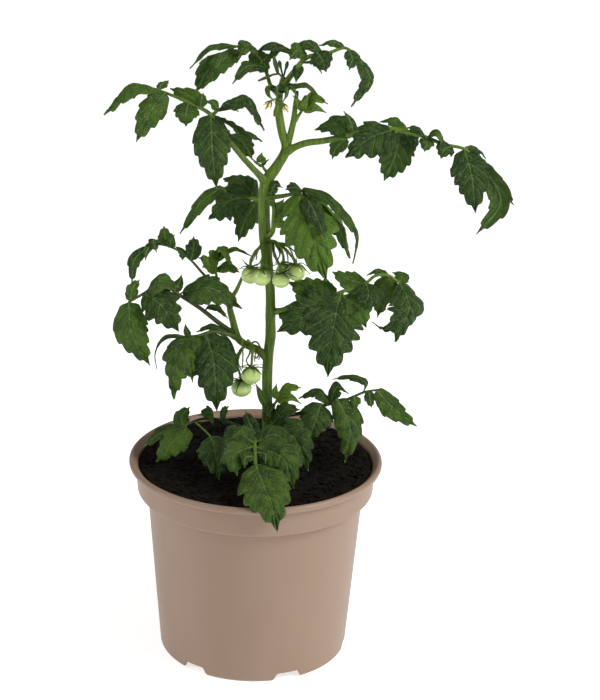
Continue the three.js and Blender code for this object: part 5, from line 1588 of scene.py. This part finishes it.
def leaf_colour(tree, marks, patches, shade, dark, light, sizes):
    """The green of a blade: its tone, dark and light patches under its net, its veins, its edge, and pale
    down speckled with painted glints of light on its hairs
    """
    # Each blade's tone moves its green between dark and light; for some blades this is painted light and
    # painted shade
    mixed = math_node(tree, "ADD", ramp_node(tree, patches, PATCH_FADE, 0.0, PATCH_STRENGTH),
                      times(tree, shade, TONE_STRENGTH))
    green = mix_colours(tree, ramp_node(tree, mixed, TONE_FADE), dark, light)
    for mark, strength, colour in (
        ("Net", NET_COLOUR_STRENGTH, sizes.vein_colour),
        ("Veins", VEIN_COLOUR_STRENGTH, sizes.vein_colour),
        ("Edge", EDGE_COLOUR_STRENGTH, sizes.edge_colour),
    ):
        green = mix_colours(tree, times(tree, marks[mark], strength), green, colour)
    # Pale down, speckled lighter as painted glints of light on its hairs
    down_glints = ramp_node(tree, noise_node(tree, DOWN_GLINT_SCALE, 2), DOWN_GLINT_FADE, 0.0, DOWN_GLINT_STRENGTH)
    return mix_colours(tree, down_glints, green, DOWN_GLINT_COLOUR)


def leaf_material(name, group, dark, light, roughness, sizes):
    """One face of a blade: green between pale veins, with light that shines through it"""
    material, tree, shader = new_material(name)
    across, number = uv_parts(tree, "veins")
    shade, side = uv_parts(tree, "tint")
    marks = place_group(tree, group, Across=across, Number=number, Side=side)
    patches = noise_node(tree, PATCH_SCALE, 5)
    green = leaf_colour(tree, marks, patches, shade, dark, light, sizes)
    tree.links.new(green, shader.inputs["Base Color"])
    feed(tree, shader.inputs["Roughness"],
         ramp_node(tree, patches, (0.2, 0.8), roughness, roughness + ROUGHNESS_SPREAD))
    shader.inputs["Specular IOR Level"].default_value = LEAF_SPECULAR
    puckers = noise_node(tree, PUCKER_SCALE, 3)
    height = math_node(tree, "ADD", times(tree, marks["Veins"], VEIN_SINK), puckers)
    height = math_node(tree, "SUBTRACT", height, times(tree, marks["Net"], NET_SINK))
    bump_node(tree, height, 1.0, LEAF_BUMP, shader)
    glow = tree.nodes.new("ShaderNodeBsdfTranslucent")
    lit = times(tree, marks["Veins"], GLOW_VEIN_STRENGTH)
    feed(tree, glow.inputs["Color"], mix_colours(tree, lit, sizes.glow_colour, sizes.vein_colour))
    both = tree.nodes.new("ShaderNodeMixShader")
    both.inputs[0].default_value = LEAF_GLOW
    tree.links.new(shader.outputs[0], both.inputs[1])
    tree.links.new(glow.outputs[0], both.inputs[2])
    tree.links.new(both.outputs[0], tree.nodes["Material Output"].inputs["Surface"])
    return material


def leaf_materials(sizes):
    """Finishes of grown blades and of young ones: upper side, underside and stalk"""
    group = leaf_vein_group()
    upper = leaf_material("Leaf upper side", group, sizes.upper_colour, sizes.bright_colour,
                          UPPER_ROUGHNESS, sizes)
    under = leaf_material("Leaf underside", group, sizes.under_colour, sizes.under_colour,
                          UNDER_ROUGHNESS, sizes)
    young = leaf_material("Young leaf", group, sizes.bright_colour, sizes.young_colour,
                          UPPER_ROUGHNESS, sizes)
    stalk = stem_material("Leaf stalk", bpy.context.scene.tomato_stem)
    return [upper, under, stalk], [young, young, stalk]


def streak_group():
    """Lengthwise streaks and blotches of green stems"""
    group, source, sink = new_group("Stem streaks", [("Fineness", 1.0)], ["Streaks", "Blotches"])
    for label, scale, stretch in (
        ("Streaks", STREAK_SCALE, STREAK_STRETCH),
        ("Blotches", BLOTCH_SCALE, (1, 1, 1)),
    ):
        made = noise_node(group, scale, 3, stretch)
        feed(group, made.node.inputs["Scale"], times(group, source["Fineness"], scale))
        feed(group, sink[label], made)
    return group


def stem_material(name, sizes):
    """Green stem skin: pale streaks, darker blotches, and brown where a stalk's tint says so"""
    material, tree, shader = new_material(name)
    group = bpy.data.node_groups.get("Stem streaks") or streak_group()
    marks = place_group(tree, group, Fineness=1.0)
    brown, _ = uv_parts(tree, "tint")
    streaks = ramp_node(tree, marks["Streaks"], (0.35, 0.7))
    blotches = ramp_node(tree, marks["Blotches"], (0.5, 0.75), 0.0, 0.5)
    green = mix_colours(tree, streaks, sizes.colour, sizes.young_colour)
    green = mix_colours(tree, blotches, green, sizes.shade_colour)
    green = mix_colours(tree, brown, green, sizes.brown_colour)
    tree.links.new(green, shader.inputs["Base Color"])
    shader.inputs["Roughness"].default_value = GREEN_ROUGHNESS
    shader.inputs["Specular IOR Level"].default_value = STEM_SPECULAR
    bump_node(tree, marks["Streaks"], 0.5, STEM_BUMP, shader)
    return material


def plain_material(name, colour, roughness):
    """A material of one colour"""
    material, _, shader = new_material(name)
    shader.inputs["Base Color"].default_value = (*colour, 1)
    shader.inputs["Roughness"].default_value = roughness
    return material


def pot_material(sizes):
    """Matt moulded plastic with faint clouds and fine grain"""
    material, tree, shader = new_material("Pot plastic")
    clouds = ramp_node(tree, noise_node(tree, POT_CLOUD_SCALE, 3, (1, 1, 0.5)), (0.3, 0.7))
    grain = noise_node(tree, POT_GRAIN_SCALE, 2)
    feed(tree, shader.inputs["Base Color"], mix_colours(tree, clouds, sizes.colour, sizes.cloud_colour))
    feed(tree, shader.inputs["Roughness"], ramp_node(tree, grain, (0.3, 0.7), *POT_ROUGHNESS))
    bump_node(tree, grain, 0.12, POT_BUMP, shader)
    return material


def soil_material(sizes):
    """Moist dark soil with crumbs of different browns"""
    material, tree, shader = new_material("Potting soil")
    shade, _ = uv_parts(tree, "tint")
    coarse = noise_node(tree, SOIL_COARSE_SCALE, 5)
    fine = noise_node(tree, SOIL_FINE_SCALE, 4)
    mixed = math_node(tree, "ADD", times(tree, coarse, 0.7), times(tree, shade, 0.35))
    tone = mix_colours(tree, ramp_node(tree, mixed, (0.4, 0.85)), sizes.colour, sizes.crumb_colour)
    tree.links.new(tone, shader.inputs["Base Color"])
    shader.inputs["Roughness"].default_value = 0.95
    shader.inputs["Specular IOR Level"].default_value = 0.1
    bump_node(tree, fine, 0.8, SOIL_BUMP, shader)
    return material


def fruit_material(sizes):
    """Smooth green skin, mottled with paler green and darker round the stalk"""
    material, tree, shader = new_material("Green tomato skin")
    _, height = uv_parts(tree, "veins")
    shoulder = ramp_node(tree, height, (0.55, 1.0))
    clouds = ramp_node(tree, noise_node(tree, 220, 3), (0.45, 0.75), 0.0, 0.35)
    tone = mix_colours(tree, shoulder, sizes.colour, sizes.shoulder_colour)
    tone = mix_colours(tree, clouds, tone, sizes.pale_colour)
    tree.links.new(tone, shader.inputs["Base Color"])
    shader.inputs["Roughness"].default_value = sizes.roughness
    shader.inputs["Coat Weight"].default_value = FRUIT_COAT
    shader.inputs["Coat Roughness"].default_value = FRUIT_COAT_ROUGHNESS
    return material


def number_property(name, description, default, **more):
    return bpy.props.FloatProperty(name=name, description=description, default=default, **more)


def length_property(name, description, default):
    return number_property(name, description, default, unit="LENGTH")


def colour_property(name, description, default):
    return bpy.props.FloatVectorProperty(name=name, description=description, default=default,
                                         subtype="COLOR", min=0, max=1)


class PotSettings(bpy.types.PropertyGroup):
    rim_diameter: length_property("Rim diameter", "Outside diameter of the pot's lip", 190 * MM)
    height: length_property("Height", "Height of the pot with its lip", 153.5 * MM)
    wall: length_property("Wall", "Thickness of the pot's wall", WALL * MM)
    colour: colour_property("Colour", "Colour of the plastic", (0.250, 0.162, 0.108))
    cloud_colour: colour_property("Cloud colour", "Colour of its faint clouds", (0.275, 0.182, 0.125))


class SoilSettings(bpy.types.PropertyGroup):
    height: length_property("Height", "Height of the soil's top above the ground", 149.6 * MM)
    crumb_size: length_property("Crumb size", "Width of the largest crumbs", 3.4 * MM)
    crumb_count: bpy.props.IntProperty(name="Crumbs", description="Number of crumbs on the soil",
                                       default=2600, min=0)
    colour: colour_property("Colour", "Colour of the moist soil", (0.004, 0.0032, 0.0022))
    crumb_colour: colour_property("Crumb colour", "Colour of its lighter crumbs", (0.020, 0.013, 0.008))


class StemSettings(bpy.types.PropertyGroup):
    hair_length: length_property("Hair length", "Mean length of the hairs", 1.3 * MM)
    hair_density: number_property("Hair density", "Hairs on a square millimetre", 0.4, min=0)
    colour: colour_property("Colour", "Green of the stem's skin", (0.070, 0.130, 0.010))
    young_colour: colour_property("Streak colour", "Paler green of its streaks", (0.13, 0.22, 0.02))
    shade_colour: colour_property("Blotch colour", "Darker tone of its blotches", (0.05, 0.07, 0.014))
    hair_colour: colour_property("Hair colour", "Colour of the hairs", (0.55, 0.62, 0.40))
    brown_colour: colour_property("Brown colour", "Colour of the dark leaf stalks", (0.045, 0.045, 0.018))


class LeafSettings(bpy.types.PropertyGroup):
    thickness: length_property("Thickness", "Thickness of a blade", 0.4 * MM)
    quilt: number_property("Quilting", "Swell between the veins, as a share of the width", 0.06,
                           min=0, max=0.2)
    wave: number_property("Waviness", "Wave of the edges, as a share of the width", 0.09,
                          min=0, max=0.3)
    upper_colour: colour_property("Upper colour", "Green of the upper side", (0.007, 0.026, 0.001))
    bright_colour: colour_property("Bright colour", "Lighter green of the upper side", (0.120, 0.235, 0.008))
    young_colour: colour_property("Young colour", "Yellow-green of young blades", (0.30, 0.50, 0.04))
    under_colour: colour_property("Under colour", "Green of the underside", (0.070, 0.130, 0.022))
    vein_colour: colour_property("Vein colour", "Pale green of the veins", (0.26, 0.40, 0.13))
    edge_colour: colour_property("Edge colour", "Dark tint along the edge", (0.020, 0.022, 0.010))
    glow_colour: colour_property("Glow colour", "Colour of light through a blade", (0.17, 0.36, 0.010))


class FruitSettings(bpy.types.PropertyGroup):
    roughness: number_property("Roughness", "Roughness of the skin", 0.3, min=0, max=1)
    colour: colour_property("Colour", "Green of the skin", (0.46, 0.60, 0.19))
    pale_colour: colour_property("Pale colour", "Palest green of the skin", (0.66, 0.78, 0.34))
    shoulder_colour: colour_property("Shoulder colour", "Darker green round the stalk", (0.30, 0.46, 0.09))


class FlowerSettings(bpy.types.PropertyGroup):
    petal_colour: colour_property("Petal colour", "Yellow of the petals", (0.72, 0.62, 0.20))
    anther_colour: colour_property("Anther colour", "Deep yellow of the cone", (0.45, 0.33, 0.03))
    sepal_colour: colour_property("Sepal colour", "Green of buds and sepals", (0.055, 0.10, 0.018))


class StudioSettings(bpy.types.PropertyGroup):
    floor_size: length_property("Floor size", "Side of the square floor", 12.0)
    floor_colour: colour_property("Floor colour", "Colour of the floor", (0.8, 0.8, 0.8))
    floor_glow: number_property("Floor glow", "Light that the floor itself gives", 0.66, min=0)
    key_power: number_property("Key light", "Power of the brighter light", 37, unit="POWER", min=0)
    fill_power: number_property("Fill light", "Power of the light from the other side", 10,
                                unit="POWER", min=0)
    sky: number_property("Sky", "Strength of the plain sky", 0.32, min=0)


class TOMATO_OT_pot(bpy.types.Operator):
    """Build the pot with its lip, collar, feet and drain holes"""

    bl_idname = "tomato.pot"
    bl_label = "Pot"

    def execute(self, context):
        sizes = context.scene.tomato_pot
        piece = Piece()
        add_turned(piece, rounded(pot_profile(sizes), POT_ROUNDING), POT_SIDES)
        made = piece.build("fine_pot", [pot_material(sizes)], ["pot"])
        angles = [FIRST_NOTCH_ANGLE + 360 / NOTCHES * i for i in range(NOTCHES)]
        cutters = [notch_cutter(angle).plain_object("notch") for angle in angles]
        cutters += [drain_cutter(angle).plain_object("drain") for angle in angles]
        cut_away(made, cutters)
        smooth(made.data, POT_SHARP_ANGLE)
        return {"FINISHED"}


class TOMATO_OT_soil(bpy.types.Operator):
    """Build the soil and the crumbs on it"""

    bl_idname = "tomato.soil"
    bl_label = "Soil"

    def execute(self, context):
        sizes = context.scene.tomato_soil
        piece = Piece()
        add_soil(piece, sizes)
        add_crumbs(piece, sizes)
        piece.build("fine_soil", [soil_material(sizes)], ["soil"])
        return {"FINISHED"}


class TOMATO_OT_stem(bpy.types.Operator):
    """Build the main stem with its fork, its side branch and the buds on its tip"""

    bl_idname = "tomato.stem"
    bl_label = "Stem"

    def execute(self, context):
        sizes = context.scene.tomato_stem
        flower = context.scene.tomato_flower
        piece = Piece()
        add_stems(piece)
        for bud in BUDS:
            if bud["neck"][2] >= CROWN_HEIGHT:
                add_bud(piece, bud, 1)
        buds = plain_material("Bud green", flower.sepal_colour, GREEN_ROUGHNESS)
        piece.build("fine_main_stem", [stem_material("Stem skin", sizes), buds], ["main_stem"])
        return {"FINISHED"}


class TOMATO_OT_hairs(bpy.types.Operator):
    """Build the fine hairs of the stem and the leaf stalks"""

    bl_idname = "tomato.hairs"
    bl_label = "Hairs"

    def execute(self, context):
        sizes = context.scene.tomato_stem
        length = sizes.hair_length / MM
        piece = Piece()
        for name, stem in STEMS.items():
            path = Path(stem["points"])
            start = HAIRLESS_SHARE if name == "trunk" else 0
            add_hairs(piece, path, stem_radius(stem["radii"], path), sizes.hair_density, length,
                      dice_for("hairs " + name), start)
        for name, leaf in LEAVES.items():
            path = Path(leaf["stalk"])
            add_hairs(piece, path, stalk_radius(leaf["thick"], path.length),
                      sizes.hair_density * LEAF_HAIR_DENSITY, length * LEAF_HAIR_LENGTH,
                      dice_for("hairs " + name))
        skin = plain_material("Hair", sizes.hair_colour, GREEN_ROUGHNESS)
        piece.build("stem_hairs", [skin])
        return {"FINISHED"}


class TOMATO_OT_leaves(bpy.types.Operator):
    """Build every compound leaf and young shoot"""

    bl_idname = "tomato.leaves"
    bl_label = "Leaves"

    def execute(self, context):
        sizes = context.scene.tomato_leaf
        grown, young = leaf_materials(sizes)
        for name, leaf in LEAVES.items():
            piece = Piece()
            add_leaf(piece, name, leaf, sizes)
            piece.build("fine_" + name, young if name in YOUNG_SHOOTS else grown, [name])
        return {"FINISHED"}


class TOMATO_OT_trusses(bpy.types.Operator):
    """Build the fruit stalks with the sepals of each fruit"""

    bl_idname = "tomato.trusses"
    bl_label = "Trusses"

    def execute(self, context):
        material = stem_material("Truss skin", context.scene.tomato_stem)
        for name, truss in TRUSSES.items():
            piece = Piece()
            add_truss(piece, truss)
            for number, points in enumerate(SPURS[name]):
                add_spur(piece, Path(points), dice_for(name + " spur", number))
            piece.build("fine_" + name, [material], [name])
        return {"FINISHED"}


class TOMATO_OT_fruit(bpy.types.Operator):
    """Build the green tomatoes"""

    bl_idname = "tomato.fruit"
    bl_label = "Fruit"

    def execute(self, context):
        material = fruit_material(context.scene.tomato_fruit)
        for name, fruit in FRUITS.items():
            piece = Piece()
            add_fruit(piece, fruit, name)
            piece.build("fine_" + name, [material], [name])
        return {"FINISHED"}


class TOMATO_OT_flowers(bpy.types.Operator):
    """Build the open flowers, their stalks and the hanging bud"""

    bl_idname = "tomato.flowers"
    bl_label = "Flowers"

    def execute(self, context):
        sizes = context.scene.tomato_flower
        green = plain_material("Sepal green", sizes.sepal_colour, GREEN_ROUGHNESS)
        petal = plain_material("Petal yellow", sizes.petal_colour, PETAL_ROUGHNESS)
        anther = plain_material("Anther yellow", sizes.anther_colour, GREEN_ROUGHNESS)
        for name, flower in FLOWERS.items():
            piece = Piece()
            add_flower(piece, flower)
            piece.build("fine_" + name, [petal, anther, green], [name])
        piece = Piece()
        stalk = Path(FLOWER_STALK["points"])
        add_tube(piece, stalk, stalk_radius(FLOWER_STALK["thick"], stalk.length, 1.2), STALK_SIDES, 1.0)
        for points in FLOWER_PEDICELS:
            add_tube(piece, Path(points), lambda share: 0.6 + 0.2 * share ** 3, THIN_STALK_SIDES, BUD_STEP)
        for bud in BUDS:
            if bud["neck"][2] < CROWN_HEIGHT:
                add_bud(piece, bud, 0)
        material = stem_material("Flower stalk skin", context.scene.tomato_stem)
        piece.build("fine_truss_flowers", [material], ["truss_flowers"])
        return {"FINISHED"}


def add_light(name, place, aim, power):
    """A large soft square light that shines from a place to another"""
    data = bpy.data.lights.new(name, "AREA")
    data.size = LIGHT_SIZE
    data.energy = power
    lamp = bpy.data.objects.new(name, data)
    lamp.location = place
    lamp.rotation_mode = "QUATERNION"
    lamp.rotation_quaternion = (Vector(aim) - Vector(place)).to_track_quat("-Z", "Y")
    bpy.context.scene.collection.objects.link(lamp)


def add_floor(sizes):
    """A plain square floor that gives a little light of its own"""
    half = sizes.floor_size / 2
    mesh = bpy.data.meshes.new("Floor")
    corners = [(-half, -half, 0), (half, -half, 0), (half, half, 0), (-half, half, 0)]
    mesh.from_pydata(corners, [], [(0, 1, 2, 3)])
    pale = plain_material("Floor", sizes.floor_colour, 0.9)
    shader = pale.node_tree.nodes["Principled BSDF"]
    shader.inputs["Emission Color"].default_value = (1, 1, 1, 1)
    shader.inputs["Emission Strength"].default_value = sizes.floor_glow
    mesh.materials.append(pale)
    floor = bpy.data.objects.new("Floor", mesh)
    bpy.context.scene.collection.objects.link(floor)


def add_camera():
    """The camera as solved from the photo"""
    data = bpy.data.cameras.new("Camera")
    data.lens = CAMERA_LENS
    camera = bpy.data.objects.new("Camera", data)
    turn = Quaternion((0, 0, 1), math.radians(CAMERA_TURN))
    tilt = Quaternion((1, 0, 0), math.radians(CAMERA_TILT))
    roll = Quaternion((0, 0, 1), math.radians(CAMERA_ROLL))
    camera.rotation_mode = "QUATERNION"
    camera.rotation_quaternion = turn @ tilt @ roll
    camera.location = CAMERA_PLACE
    bpy.context.scene.collection.objects.link(camera)
    bpy.context.scene.camera = camera


class TOMATO_OT_studio(bpy.types.Operator):
    """Build the plain floor, the soft lights and the camera"""

    bl_idname = "tomato.studio"
    bl_label = "Studio"

    def execute(self, context):
        sizes = context.scene.tomato_studio
        add_floor(sizes)
        add_light("Key light", KEY_PLACE, KEY_AIM, sizes.key_power)
        add_light("Fill light", FILL_PLACE, FILL_AIM, sizes.fill_power)
        world = bpy.data.worlds.new("Plain sky")
        world.use_nodes = True
        sky = world.node_tree.nodes["Background"]
        sky.inputs["Color"].default_value = (1, 1, 1, 1)
        sky.inputs["Strength"].default_value = sizes.sky
        context.scene.world = world
        context.scene.view_settings.view_transform = "Standard"
        add_camera()
        return {"FINISHED"}


SETTINGS = {
    "tomato_pot": PotSettings,
    "tomato_soil": SoilSettings,
    "tomato_stem": StemSettings,
    "tomato_leaf": LeafSettings,
    "tomato_fruit": FruitSettings,
    "tomato_flower": FlowerSettings,
    "tomato_studio": StudioSettings,
}
OPERATORS = [
    TOMATO_OT_pot,
    TOMATO_OT_soil,
    TOMATO_OT_stem,
    TOMATO_OT_hairs,
    TOMATO_OT_leaves,
    TOMATO_OT_trusses,
    TOMATO_OT_fruit,
    TOMATO_OT_flowers,
    TOMATO_OT_studio,
]


class TOMATO_PT_panel(bpy.types.Panel):
    """Lists the plant's settings and what builds each piece"""

    bl_label = "Potted Tomato Plant"
    bl_space_type = "VIEW_3D"
    bl_region_type = "UI"
    bl_category = "Tomato Plant"

    def draw(self, context):
        for name, settings in SETTINGS.items():
            box = self.layout.box()
            box.label(text=name.split("_")[1].capitalize())
            for field in settings.__annotations__:
                box.prop(getattr(context.scene, name), field)
        for operator in OPERATORS:
            self.layout.operator(operator.bl_idname)


def register():
    for made in [*SETTINGS.values(), *OPERATORS, TOMATO_PT_panel]:
        bpy.utils.register_class(made)
    for name, settings in SETTINGS.items():
        setattr(bpy.types.Scene, name, bpy.props.PointerProperty(type=settings))


def unregister():
    for name in SETTINGS:
        delattr(bpy.types.Scene, name)
    for made in [TOMATO_PT_panel, *OPERATORS, *SETTINGS.values()]:
        bpy.utils.unregister_class(made)


def main():
    register()
    bpy.ops.tomato.pot()
    bpy.ops.tomato.soil()
    bpy.ops.tomato.stem()
    bpy.ops.tomato.hairs()
    bpy.ops.tomato.leaves()
    bpy.ops.tomato.trusses()
    bpy.ops.tomato.fruit()
    bpy.ops.tomato.flowers()
    bpy.ops.tomato.studio()
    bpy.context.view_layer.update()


if __name__ == "__main__":
    main()
